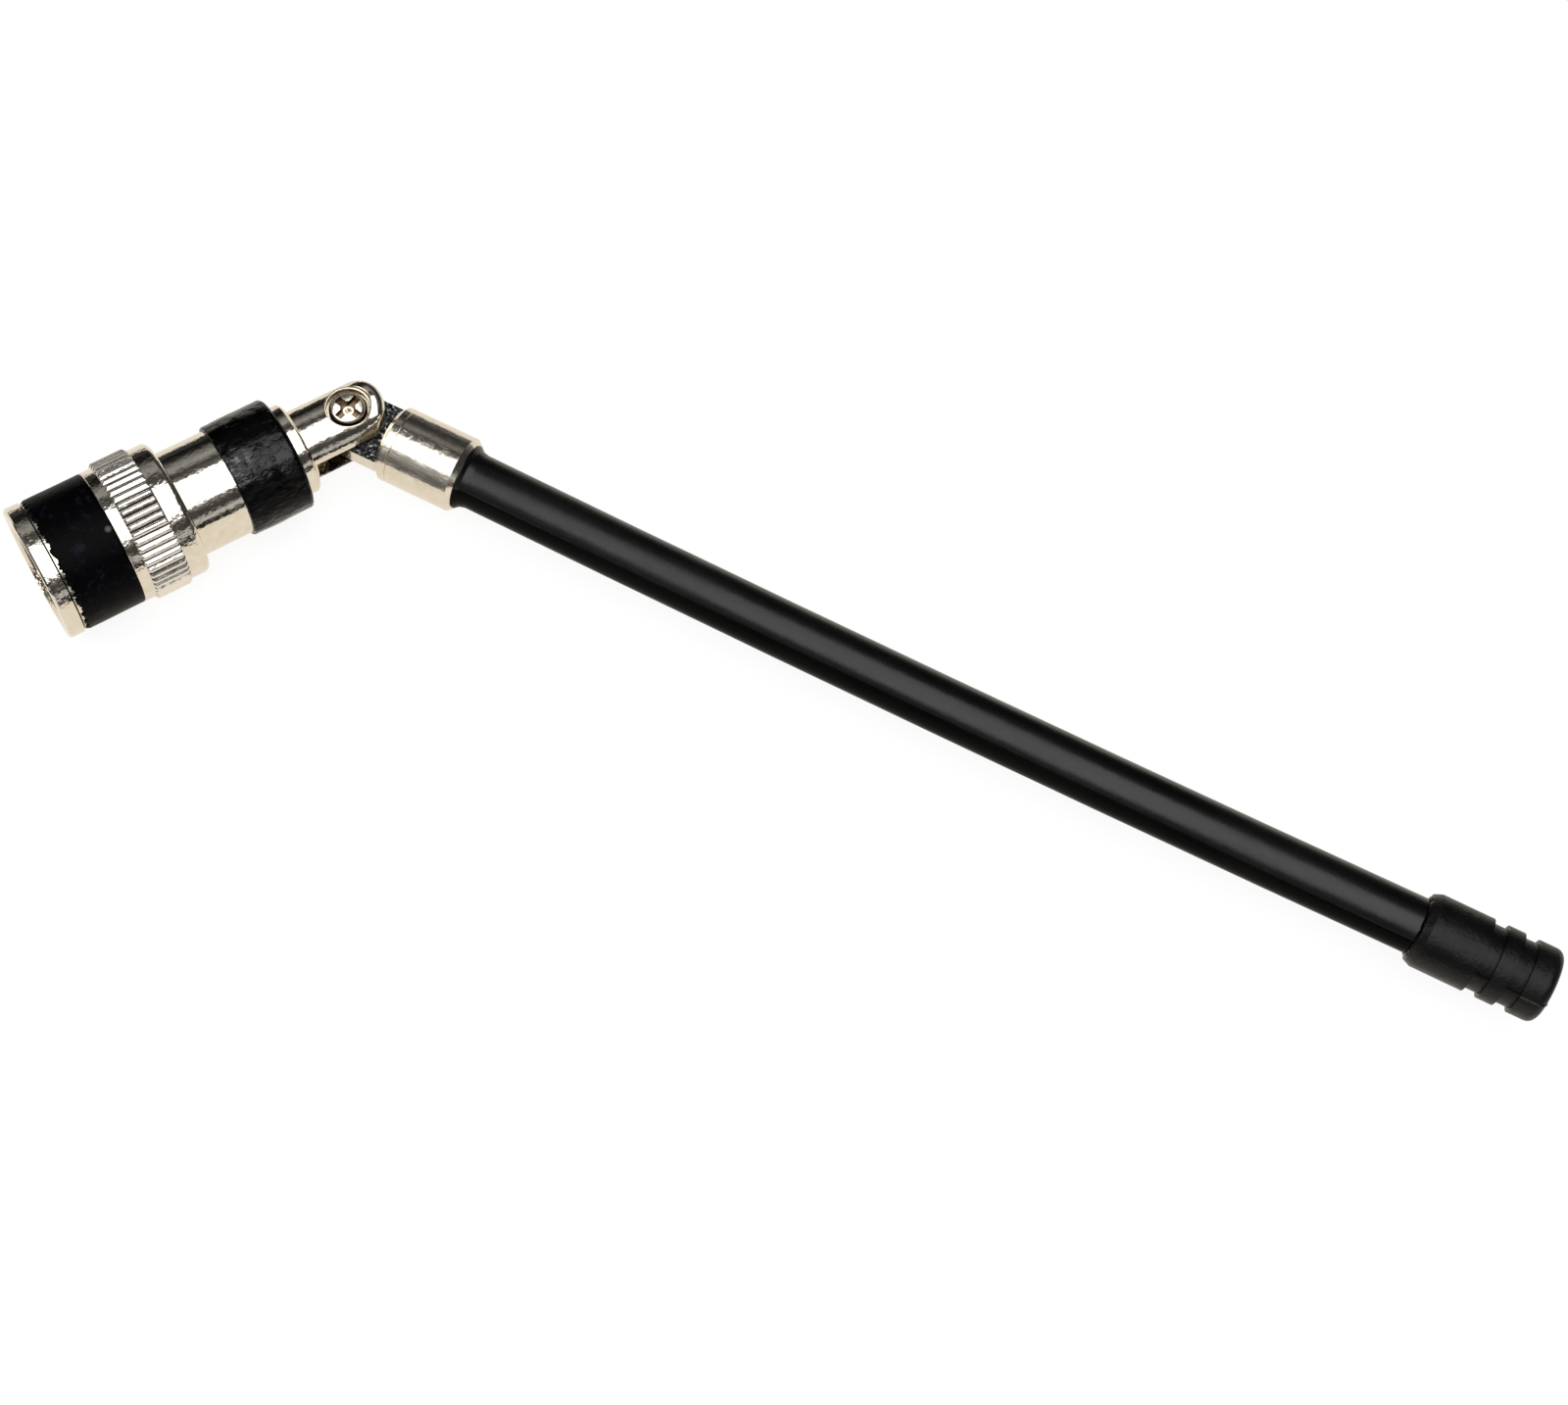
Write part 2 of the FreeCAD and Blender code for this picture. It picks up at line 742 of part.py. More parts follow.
bush = make_body("rear_bush")
bush_points = [
    (bush_start, lead_r),
    (stem_start, lead_r),
    (stem_start, stem_r),
    (bush_end, stem_r),
    (bush_end, collar_r),
    (body_end, collar_r),
    (body_end, bush_r),
    (bush_start, bush_r),
]
turned(bush, "bush_turned", bush_points)

# Fork
fork = make_body("hinge_fork")
fork_points = [
    (stem_start, lead_r),
    (stem_start, stem_r),
    (bush_end, stem_r),
    (bush_end, flange_r - dim.flange_bevel / 2),
    (bush_end + dim.flange_bevel / 2, flange_r),
    (flange_end - dim.flange_bevel, flange_r),
    (flange_end, flange_r - dim.flange_bevel),
    (flange_end, fork_r),
    (hinge_x + fork_r, fork_r),
    (hinge_x + fork_r, zero),
    (lead_end, zero),
    (lead_end, lead_r),
]
turned(fork, "fork_turned", fork_points)

slot = make_sketch(fork, "fork_slot_outline", "XZ_Plane")
slab(slot, fork_slot_start, hinge_x + fork_r + dim.cut_over, slot_width)
both_ways(fork, "Pocket", "fork_slot", slot, dim.fork_dia + dim.cut_over)


def is_slot_edge(edge):
    """True for a long straight edge of the slot."""
    box = edge.BoundBox
    on_wall = abs(abs(box.ZMax) - slot_width.now / 2) < 0.01 and box.ZLength < 0.01
    return isinstance(edge.Curve, Part.Line) and on_wall and box.XLength > fork_r.now


dressed(fork, "Chamfer", "slot_edge_bevel", is_slot_edge, dim.fork_edge_bevel)

# The cut that rounds the fork's end as seen along the screw
round_end = make_sketch(fork, "fork_end_outline", "XY_Plane")
past = fork_r + dim.cut_over
corners = [
    spot(hinge_x, fork_r),
    spot(hinge_x, past),
    spot(hinge_x + past, past),
    spot(hinge_x + past, -past),
    spot(hinge_x, -past),
    spot(hinge_x, -fork_r),
]
for i in range(5):
    round_end.addGeometry(Part.LineSegment(corners[i], corners[i + 1]), False)
end_circle = Part.Circle(spot(hinge_x, zero), FreeCAD.Vector(0, 0, 1), fork_r.now)
round_end.addGeometry(Part.ArcOfCircle(end_circle, -math.pi / 2, math.pi / 2), False)
join(round_end, 6)
round_end.addConstraint(Sketcher.Constraint("PointOnObject", 5, 3, -1))
for i, way in enumerate(("Vertical", "Horizontal", "Vertical", "Horizontal", "Vertical")):
    round_end.addConstraint(Sketcher.Constraint(way, i))
round_end.addConstraint(Sketcher.Constraint("Symmetric", 1, 1, 3, 2, -1))
bind(round_end, "DistanceX", 5, 3, hinge_x)
bind(round_end, "DistanceX", 0, 1, hinge_x)
bind(round_end, "DistanceY", 0, 1, fork_r)
bind(round_end, "DistanceY", 0, 2, past)
bind(round_end, "DistanceX", 1, 2, hinge_x + past)
both_ways(fork, "Pocket", "fork_end", round_end, dim.fork_dia + dim.cut_over)


def is_end_edge(edge):
    """True for the curved edges where the fork's round end meets its round sides."""
    box = edge.BoundBox
    at_crown = max(box.ZMax, -box.ZMin) > fork_r.now - dim.fork_edge_bevel.now
    return at_crown and box.XMin > hinge_x.now and isinstance(edge.Curve, Part.Ellipse)


dressed(fork, "Fillet", "fork_end_corner", is_end_edge, dim.fork_end_round)

cup_seat = make_sketch(fork, "cup_seat_outline", "XY_Plane", dim.cup_floor_z + fork_r)
disc(cup_seat, hinge_x, cup_r)
both_ways(fork, "Pocket", "cup_seat", cup_seat, dim.fork_dia)

near_hole = make_sketch(fork, "near_hole_outline", "XY_Plane", fork_r)
disc(near_hole, hinge_x, shank_hole_r)
both_ways(fork, "Pocket", "near_hole", near_hole, dim.fork_dia)

far_hole = make_sketch(fork, "far_hole_outline", "XY_Plane", -fork_r)
disc(far_hole, hinge_x, shank_r)
both_ways(fork, "Pocket", "far_hole", far_hole, dim.fork_dia)

# Cup, screw and friction washers on the hinge axis
cup = make_body("screw_cup")
cup_points = [
    (shank_hole_r, zero),
    (cup_r, zero),
    (cup_r, dim.cup_len),
    (cup_r - dim.cup_wall, dim.cup_len),
    (cup_r - dim.cup_wall, dim.cup_floor_len),
    (shank_hole_r, dim.cup_floor_len),
]
turned(cup, "cup_turned", cup_points, upright=True)
cup_rim = FreeCAD.Vector(0, 0, dim.cup_len.now)


def is_rim_edge(edge):
    """True for both edges of the cup's rim."""
    return is_ring(edge, cup_rim, cup_r) or is_ring(edge, cup_rim, cup_r - dim.cup_wall)


dressed(cup, "Fillet", "cup_rim_round", is_rim_edge, dim.cup_wall * dim.cup_round_share)
at_hinge(cup, dim.cup_floor_z)

screw = make_body("hinge_screw")
screw_points = [
    (zero, zero),
    (shank_r - dim.shank_bevel, zero),
    (shank_r, dim.shank_bevel),
    (shank_r, head_seat),
    (head_r, head_seat),
    (head_r, head_level),
    (zero, head_level),
]
turned(screw, "screw_turned", screw_points, upright=True)
head_top = FreeCAD.Vector(0, 0, head_level.now)
head_round = dim.head_len * dim.head_round_share
dressed(screw, "Fillet", "head_corner", lambda edge: is_ring(edge, head_top, head_r), head_round)

# Cross recess of the screw
for letter, turn in (("a", 0), ("b", 90)):
    wing = make_sketch(screw, "wing_" + letter + "_outline", "XY_Plane")
    wing.AttachmentOffset = FreeCAD.Placement(head_top, FreeCAD.Rotation(FreeCAD.Vector(0, 0, 1), turn))
    wing.setExpression("AttachmentOffset.Base.z", head_level.text)
    slab(wing, -dim.recess_span / 2, dim.recess_span / 2, dim.recess_wing)
    both_ways(screw, "Pocket", "wing_" + letter, wing, dim.recess_depth * 2)
cone_points = [
    (zero, head_level - dim.recess_centre_depth),
    (dim.recess_centre_dia / 2, head_level),
    (zero, head_level),
]
turned(screw, "recess_centre", cone_points, upright=True, cut=True)
at_hinge(screw, -dim.screw_bottom, dim.screw_clock)

washer_points = [
    (shank_hole_r, zero),
    (dim.washer_dia / 2, zero),
    (dim.washer_dia / 2, dim.washer_len),
    (shank_hole_r, dim.washer_len),
]
upper = make_body("friction_washer_upper")
turned(upper, "upper_washer_turned", washer_points, upright=True)
at_hinge(upper, slot_width / 2 - dim.washer_len)
lower = make_body("friction_washer_lower")
turned(lower, "lower_washer_turned", washer_points, upright=True)
at_hinge(lower, -slot_width / 2)

# Ferrule with its tongue
ferrule = make_body("whip_ferrule")
tongue = make_sketch(ferrule, "tongue_outline", "XY_Plane")
tongue_side = dim.tongue_width / 2
tongue_end = core_start - dim.tongue_root_gap
corners = [
    spot(zero, -tongue_side),
    spot(tongue_end, -tongue_side),
    spot(tongue_end, tongue_side),
    spot(zero, tongue_side),
]
for i in range(3):
    tongue.addGeometry(Part.LineSegment(corners[i], corners[i + 1]), False)
tongue_circle = Part.Circle(FreeCAD.Vector(0, 0, 0), FreeCAD.Vector(0, 0, 1), tongue_side.now)
tongue.addGeometry(Part.ArcOfCircle(tongue_circle, math.pi / 2, 3 * math.pi / 2), False)
eye = Part.Circle(FreeCAD.Vector(0, 0, 0), FreeCAD.Vector(0, 0, 1), shank_hole_r.now)
tongue.addGeometry(eye, False)
join(tongue, 4)
tongue.addConstraint(Sketcher.Constraint("Coincident", 3, 3, -1, 1))
tongue.addConstraint(Sketcher.Constraint("Coincident", 4, 3, -1, 1))
tongue.addConstraint(Sketcher.Constraint("Horizontal", 0))
tongue.addConstraint(Sketcher.Constraint("Vertical", 1))
tongue.addConstraint(Sketcher.Constraint("Horizontal", 2))
tongue.addConstraint(Sketcher.Constraint("PointOnObject", 3, 1, -2))
bind(tongue, "DistanceX", 0, 2, tongue_end)
sized(tongue, Sketcher.Constraint("DistanceY", 1, 1, 1, 2, dim.tongue_width.now), dim.tongue_width)
sized(tongue, Sketcher.Constraint("Radius", 4, shank_hole_r.now), shank_hole_r)
both_ways(ferrule, "Pad", "tongue", tongue, dim.tongue_len)
ferrule_points = [
    (shoulder_u, zero),
    (shoulder_u, ferrule_r - dim.shoulder_bevel),
    (shoulder_u + dim.shoulder_bevel, ferrule_r),
    (score_u - dim.score_width / 2, ferrule_r),
    (score_u, ferrule_r - dim.score_depth),
    (score_u + dim.score_width / 2, ferrule_r),
    (ferrule_end - dim.ferrule_bevel_len, ferrule_r),
    (ferrule_end, ferrule_r - dim.ferrule_bevel_drop),
    (ferrule_end, socket_r),
    (socket_start, socket_r),
    (socket_start, core_r),
    (core_start, core_r),
    (core_start, zero),
]
turned(ferrule, "ferrule_turned", ferrule_points)
at_hinge(ferrule, zero, -dim.fold_angle)


def bend_path(body, name):
    """The slight bow of the whip, an arc between two points of its straight axis."""
    sketch = make_sketch(body, name, "XY_Plane")
    middle = (flare_end + bend_end) / 2
    bow = Part.Arc(spot(flare_end, zero), spot(middle, -dim.whip_sag), spot(bend_end, zero))
    sketch.addGeometry(bow, False)
    sketch.addConstraint(Sketcher.Constraint("PointOnObject", 0, 1, -1))
    sketch.addConstraint(Sketcher.Constraint("PointOnObject", 0, 2, -1))
    bind(sketch, "DistanceX", 0, 1, flare_end)
    bind(sketch, "DistanceX", 0, 2, bend_end)
    half_span = (bend_end - flare_end) / 2
    radius = (half_span * half_span + dim.whip_sag * dim.whip_sag) / (dim.whip_sag * 2)
    sized(sketch, Sketcher.Constraint("Radius", 0, radius.now), radius)
    doc.recompute()
    return sketch


def bent_rod(body, name, radius, cut=False):
    """A round rod, or the bore for one, along the whip's bow."""
    path = bend_path(body, name + "_path")
    section = make_sketch(body, name + "_section", "YZ_Plane", flare_end)
    disc(section, zero, radius)
    doc.recompute()
    kind = "PartDesign::SubtractivePipe" if cut else "PartDesign::AdditivePipe"
    feature = body.newObject(kind, name)
    feature.Profile = section
    feature.Spine = (path, ["Edge1"])
    doc.recompute()
    return feature


# Core rod
core = make_body("whip_core")
core_root = [
    (core_start, zero),
    (core_start, core_r),
    (flare_end, core_r),
    (flare_end, zero),
]
turned(core, "core_root", core_root)
bent_rod(core, "core_length", core_r)
core_tip = [
    (tip_step, zero),
    (tip_step, core_tip_r),
    (core_end, core_tip_r),
    (core_end, zero),
]
turned(core, "core_tip", core_tip)
at_hinge(core, zero, -dim.fold_angle)

# Rubber sheath
sheath = make_body("whip_sheath")
knee_r = whip_r + (flare_r - whip_r) * dim.flare_knee_share
sheath_root = [
    (socket_start, zero),
    (socket_start, socket_r),
    (ferrule_end, socket_r),
    (ferrule_end, flare_r),
    (ferrule_end + dim.flare_flat_len, flare_r),
    (ferrule_end + dim.flare_knee_len, knee_r),
    (flare_end, whip_r),
    (flare_end, zero),
]
turned(sheath, "sheath_root", sheath_root)
bent_rod(sheath, "sheath_length", whip_r)
sheath_tip = [
    (tip_step, zero),
    (tip_step, sheath_tip_r),
    (sheath_end, sheath_tip_r),
    (sheath_end, zero),
]
turned(sheath, "sheath_tip", sheath_tip)
bore_root = [
    (socket_start - dim.cut_over, zero),
    (socket_start - dim.cut_over, core_r),
    (flare_end, core_r),
    (flare_end, zero),
]
turned(sheath, "sheath_bore_root", bore_root, cut=True)
bent_rod(sheath, "sheath_bore", core_r, cut=True)
bore_tip = [
    (tip_step, zero),
    (tip_step, core_tip_r),
    (sheath_end + dim.cut_over, core_tip_r),
    (sheath_end + dim.cut_over, zero),
]
turned(sheath, "sheath_bore_tip", bore_tip, cut=True)
at_hinge(sheath, zero, -dim.fold_angle)

# Tip cap
cap = make_body("tip_cap")
cap_points = [
    (cap_start, cap_pocket_r),
    (cap_start, cap_mouth_r),
    (cap_start + dim.cap_mouth_len, cap_r),
    (groove_a, cap_r),
    (groove_a, groove_r),
    (groove_a + dim.cap_groove_width, groove_r),
    (groove_a + dim.cap_groove_width, cap_r),
    (groove_b, cap_r),
    (groove_b, groove_r),
    (groove_b + dim.cap_groove_width, groove_r),
    (groove_b + dim.cap_groove_width, cap_r),
    (dim.whip_reach, cap_r),
    (dim.whip_reach, zero),
    (core_end, zero),
    (core_end, core_tip_r),
    (sheath_end, core_tip_r),
    (sheath_end, sheath_tip_r),
    (bend_end + dim.cap_floor_gap, sheath_tip_r),
    (bend_end + dim.cap_floor_gap, cap_bore_r),
    (pocket_end, cap_bore_r),
    (pocket_end, cap_pocket_r),
]
turned(cap, "cap_turned", cap_points)
cap_tip = spot(dim.whip_reach, zero)
dressed(cap, "Fillet", "cap_end_corner", lambda edge: is_ring(edge, cap_tip, cap_r), dim.cap_end_round)

# Parting ribs that cross the cap's grooves on two sides
rib_clocks = {"near": dim.cap_rib_clock, "far": dim.cap_rib_clock + half_turn}
rib_start = groove_a - dim.cap_rib_over
rib_end = groove_b + dim.cap_groove_width + dim.cap_rib_over
rib_points = [
    (rib_start, groove_r - dim.cap_rib_root),
    (rib_end, groove_r - dim.cap_rib_root),
    (rib_end, cap_r - dim.cap_rib_drop),
    (rib_start, cap_r - dim.cap_rib_drop),
]
for side in rib_clocks:
    rib = make_sketch(cap, "parting_rib_" + side + "_outline", "XZ_Plane")
    rib_turn = FreeCAD.Rotation(FreeCAD.Vector(1, 0, 0), rib_clocks[side].now)
    rib.AttachmentOffset = FreeCAD.Placement(FreeCAD.Vector(0, 0, 0), rib_turn)
    rib.setExpression("AttachmentOffset.Rotation.Angle", rib_clocks[side].text)
    outline(rib, rib_points)
    doc.recompute()
    both_ways(cap, "Pad", "parting_rib_" + side, rib, dim.cap_rib_width)
at_hinge(cap, zero, -dim.fold_angle)

glue = make_body("cap_adhesive")
glue_points = [
    (cap_start - dim.glue_proud, cap_bore_r),
    (pocket_end, cap_bore_r),
    (pocket_end, cap_pocket_r),
    (cap_start + dim.glue_proud, cap_pocket_r),
]
turned(glue, "glue_turned", glue_points)
at_hinge(glue, zero, -dim.fold_angle)

doc.recompute()

for item in doc.Objects:
    for word in item.State:
        if word in ("Invalid", "Error"):
            raise RuntimeError(item.Name + " is " + word)

os.makedirs("parts", exist_ok=True)
for body in bodies:
    if body.Shape.isNull() or not body.Shape.isValid():
        raise RuntimeError(body.Label + " has no valid shape")
    if len(body.Shape.Solids) != 1:
        raise RuntimeError(body.Label + " has " + str(len(body.Shape.Solids)) + " solids")
    body.Shape.exportStep("parts/" + body.Label + ".step")
    box = body.Shape.BoundBox
    spans = [round(length, 2) for length in (box.XLength, box.YLength, box.ZLength)]
    print(body.Label, round(body.Shape.Volume, 2), spans)
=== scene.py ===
import bmesh
import bpy
import math
from mathutils import Matrix, Vector, noise


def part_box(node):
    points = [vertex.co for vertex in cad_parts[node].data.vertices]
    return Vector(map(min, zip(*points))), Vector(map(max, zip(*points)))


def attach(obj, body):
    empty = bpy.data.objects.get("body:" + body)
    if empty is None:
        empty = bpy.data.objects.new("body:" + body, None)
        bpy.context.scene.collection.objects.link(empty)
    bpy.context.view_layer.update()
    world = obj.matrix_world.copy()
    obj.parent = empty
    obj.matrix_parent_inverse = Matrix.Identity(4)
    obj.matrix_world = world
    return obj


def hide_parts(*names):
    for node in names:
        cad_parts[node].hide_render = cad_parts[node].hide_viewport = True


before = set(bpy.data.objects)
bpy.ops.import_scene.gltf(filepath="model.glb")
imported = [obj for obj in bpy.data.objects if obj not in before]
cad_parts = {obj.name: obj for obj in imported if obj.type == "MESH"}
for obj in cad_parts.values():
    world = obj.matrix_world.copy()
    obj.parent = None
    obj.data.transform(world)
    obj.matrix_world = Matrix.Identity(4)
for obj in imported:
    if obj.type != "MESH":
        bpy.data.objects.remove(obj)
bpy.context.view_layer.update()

MM = 0.001

# Places taken from the frame, in metres
HINGE = Vector((sum(corner.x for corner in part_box("screw_cup")) / 2, 0.0, 0.0))
FOLD = math.radians(57.8)
WHIP_DIRECTION = Vector((math.cos(FOLD), -math.sin(FOLD), 0.0))
WHIP_PLACE = Matrix.Translation(HINGE) @ Matrix.Rotation(-FOLD, 4, "Z")
FLOOR_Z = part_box("coupling_nut")[0].z
PARTING_CLOCK = math.radians(54.0)


def reach(node):
    """Nearest and farthest points of a whip node along the whip, from the hinge axis."""
    spots = [(vertex.co - HINGE).dot(WHIP_DIRECTION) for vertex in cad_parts[node].data.vertices]
    return min(spots), max(spots)


# Materials

class Finish:
    """A Principled material and short ways to add procedural detail to it."""

    def __init__(self, name, colour, metallic=0.0, roughness=0.5):
        self.material = bpy.data.materials.new(name)
        self.material.use_nodes = True
        self.tree = self.material.node_tree
        self.shader = self.tree.nodes["Principled BSDF"]
        self.shader.inputs["Base Color"].default_value = (*colour, 1.0)
        self.shader.inputs["Metallic"].default_value = metallic
        self.shader.inputs["Roughness"].default_value = roughness
        self.last_bump = None

    def node(self, kind, **settings):
        made = self.tree.nodes.new(kind)
        for key, value in settings.items():
            setattr(made, key, value)
        return made

    def link(self, source, target):
        self.tree.links.new(source, target)

    def place(self, stretch=(1.0, 1.0, 1.0), turn=0.0, start=(0.0, 0.0, 0.0)):
        """Object coordinates in metres, from start, turned about Z so that X runs along the piece."""
        where = self.node("ShaderNodeTexCoord")
        turned = self.node("ShaderNodeMapping", vector_type="TEXTURE")
        turned.inputs["Location"].default_value = start
        turned.inputs["Rotation"].default_value = (0.0, 0.0, turn)
        scaled = self.node("ShaderNodeMapping")
        scaled.inputs["Scale"].default_value = stretch
        self.link(where.outputs["Object"], turned.inputs["Vector"])
        self.link(turned.outputs["Vector"], scaled.inputs["Vector"])
        return scaled.outputs["Vector"]

    def noise(self, vector, scale, detail=3.0, rough=0.5):
        made = self.node("ShaderNodeTexNoise")
        made.inputs["Scale"].default_value = scale
        made.inputs["Detail"].default_value = detail
        made.inputs["Roughness"].default_value = rough
        self.link(vector, made.inputs["Vector"])
        return made.outputs["Fac"]

    def ramp(self, value, stops):
        """The value through (position, grey level or colour) stops."""
        made = self.node("ShaderNodeValToRGB")
        points = made.color_ramp.elements
        while len(points) < len(stops):
            points.new(0.5)
        for point, (at, level) in zip(points, stops):
            point.position = at
            point.color = (level, level, level, 1.0) if isinstance(level, float) else (*level, 1.0)
        self.link(value, made.inputs["Fac"])
        return made.outputs["Color"]

    def math(self, operation, a, b):
        """The two values through a Math node; either may be a plain number."""
        made = self.node("ShaderNodeMath", operation=operation)
        for socket, value in zip(made.inputs, (a, b)):
            if isinstance(value, float):
                socket.default_value = value
            else:
                self.link(value, socket)
        return made.outputs["Value"]

    def mix(self, factor, a, b):
        made = self.node("ShaderNodeMix", data_type="RGBA")
        self.link(factor, made.inputs["Factor"])
        for socket, value in zip((made.inputs["A"], made.inputs["B"]), (a, b)):
            if isinstance(value, tuple):
                socket.default_value = (*value, 1.0)
            else:
                self.link(value, socket)
        return made.outputs["Result"]

    def along(self, vector, axis="X"):
        """One coordinate of a vector."""
        made = self.node("ShaderNodeSeparateXYZ")
        self.link(vector, made.inputs["Vector"])
        return made.outputs[axis]

    def distance(self, vector, share=(1.0, 1.0, 1.0)):
        """Distance from the vector's origin, each axis counted by its share."""
        scaled = self.node("ShaderNodeVectorMath", operation="MULTIPLY")
        scaled.inputs[1].default_value = share
        self.link(vector, scaled.inputs[0])
        made = self.node("ShaderNodeVectorMath", operation="LENGTH")
        self.link(scaled.outputs["Vector"], made.inputs[0])
        return made.outputs["Value"]

    def clock(self, vector):
        """Angle about X from +Z toward -Y, in turns from -0.5 to 0.5."""
        across = self.math("MULTIPLY", self.along(vector, "Y"), -1.0)
        angle = self.math("ARCTAN2", across, self.along(vector, "Z"))
        return self.math("DIVIDE", angle, 2.0 * math.pi)

    def between(self, value, low, high):
        """1 where the value lies from low to high, 0 elsewhere."""
        above = self.math("GREATER_THAN", value, low)
        return self.math("MULTIPLY", above, self.math("LESS_THAN", value, high))

    def away(self, spot, unit):
        """Distance from a spot, counted in the given unit."""
        return self.distance(self.place((1.0 / unit, 1.0 / unit, 1.0 / unit), start=spot))

    def so_far(self, name):
        """The output that feeds one of the shader's inputs so far."""
        return self.shader.inputs[name].links[0].from_socket

    def colour(self, socket):
        self.link(socket, self.shader.inputs["Base Color"])

    def roughness(self, socket):
        self.link(socket, self.shader.inputs["Roughness"])

    def bump(self, height, distance):
        """Raises the surface by height times distance in metres, on top of the bumps made before."""
        made = self.node("ShaderNodeBump")
        made.inputs["Distance"].default_value = distance
        self.link(height, made.inputs["Height"])
        if self.last_bump:
            self.link(self.last_bump, made.inputs["Normal"])
        self.last_bump = made.outputs["Normal"]
        self.link(self.last_bump, self.shader.inputs["Normal"])


def nickel(name, turn=0.0, start=(0.0, 0.0, 0.0), low=0.06, high=0.18, peel=2.4e-5, marks=0.8e-6):
    """Bright nickel plate: warm tint, turning marks round the axis, soft dents and fine scratches."""
    made = Finish(name, (0.76, 0.71, 0.62), metallic=1.0, roughness=0.15)
    plain = made.place(turn=turn, start=start)
    cloud = made.noise(plain, 900.0, 5.0, 0.6)
    tint = made.ramp(cloud, [(0.3, (0.70, 0.64, 0.54)), (0.7, (0.79, 0.74, 0.65))])
    made.colour(tint)
    turning = made.noise(made.place((26000.0, 500.0, 500.0), turn, start), 1.0, 3.0, 0.6)
    scuffs = made.noise(made.place((1500.0, 5000.0, 5000.0), turn, start), 1.0, 4.0, 0.7)
    worn = made.ramp(made.math("MULTIPLY", scuffs, cloud), [(0.16, low), (0.42, high)])
    made.roughness(worn)
    made.bump(made.noise(plain, 2300.0, 2.0, 0.5), peel)
    made.bump(turning, marks)
    made.bump(scuffs, marks)
    return made


KNURL_RIBS = 56.0
KNURL_CLOCK_IN_TURNS = 18.2 / 360.0
KNURL_SPAN = (9.12 * MM, 12.86 * MM)
KNURL_ROUNDING = 0.2 * MM


def knurled_nut():
    """The nut's nickel: its ribs are worn round and satin, and the grooves between them are darkened with
    painted shade.
    """
    made = nickel("nickel_nut", peel=4e-5)
    where = made.place()
    turned = made.math("SUBTRACT", made.clock(where), KNURL_CLOCK_IN_TURNS)
    phase = made.math("MULTIPLY", turned, KNURL_RIBS)
    from_groove = made.math("PINGPONG", phase, 0.5)
    ribs = made.between(made.along(where), *KNURL_SPAN)
    height = made.ramp(from_groove, [(0.0, 0.95), (0.30, 0.0), (0.32, 0.0), (0.41, 0.14), (0.5, 0.19)])
    made.bump(made.math("MULTIPLY", height, ribs), KNURL_ROUNDING)
    # Painted shade: the grooves between the ribs are coloured near black.
    unshaded = made.ramp(from_groove, [(0.0, 0.0), (0.08, 0.0), (0.14, 1.0)])
    painted_shade = made.math("MULTIPLY", made.math("SUBTRACT", 1.0, unshaded), ribs)
    tint = made.so_far("Base Color")
    made.colour(made.mix(painted_shade, made.mix(ribs, tint, (0.84, 0.80, 0.73)), (0.05, 0.045, 0.04)))
    worn = made.so_far("Roughness")
    made.roughness(made.mix(ribs, worn, (0.2, 0.2, 0.2)))
    return made


HEAD_CROWN = 0.05 * MM
HEAD_LEAN = 0.2 * MM
RECESS_TOP_IN_MM = 2.86
RECESS_CENTRE_IN_MM = 0.5


def from_hinge(made):
    """Coordinates from the hinge and distance from its axis, both in millimetres."""
    where = made.place((1.0 / MM, 1.0 / MM, 1.0 / MM), start=tuple(HINGE))
    return where, made.distance(where, (1.0, 1.0, 0.0))


def leaning_nickel(name, low, high):
    """Nickel of the screw and its cup: slightly domed and seated a little askew, toward the front."""
    made = nickel(name, start=tuple(HINGE), low=low, high=high, peel=4e-6)
    where, out = from_hinge(made)
    made.bump(made.math("MULTIPLY", made.math("POWER", out, 2.0), -1.0), HEAD_CROWN)
    made.bump(made.along(where, "Y"), HEAD_LEAN)
    return made


def screw_head():
    """The screw's nickel, with brown painted shade in the wings of its cross recess."""
    made = leaning_nickel("nickel_screw", 0.12, 0.26)
    where, out = from_hinge(made)
    # Painted shade: the wings of the cross recess, below its top, are coloured dark brown.
    sunk = made.math("LESS_THAN", made.along(where, "Z"), RECESS_TOP_IN_MM)
    painted_shade = made.math("MULTIPLY", sunk, made.math("GREATER_THAN", out, RECESS_CENTRE_IN_MM))
    tint = made.so_far("Base Color")
    made.colour(made.mix(painted_shade, tint, (0.13, 0.09, 0.055)))
    return made


BARREL_START = 4.7 * MM
TONGUE_TOP = 0.9 * MM


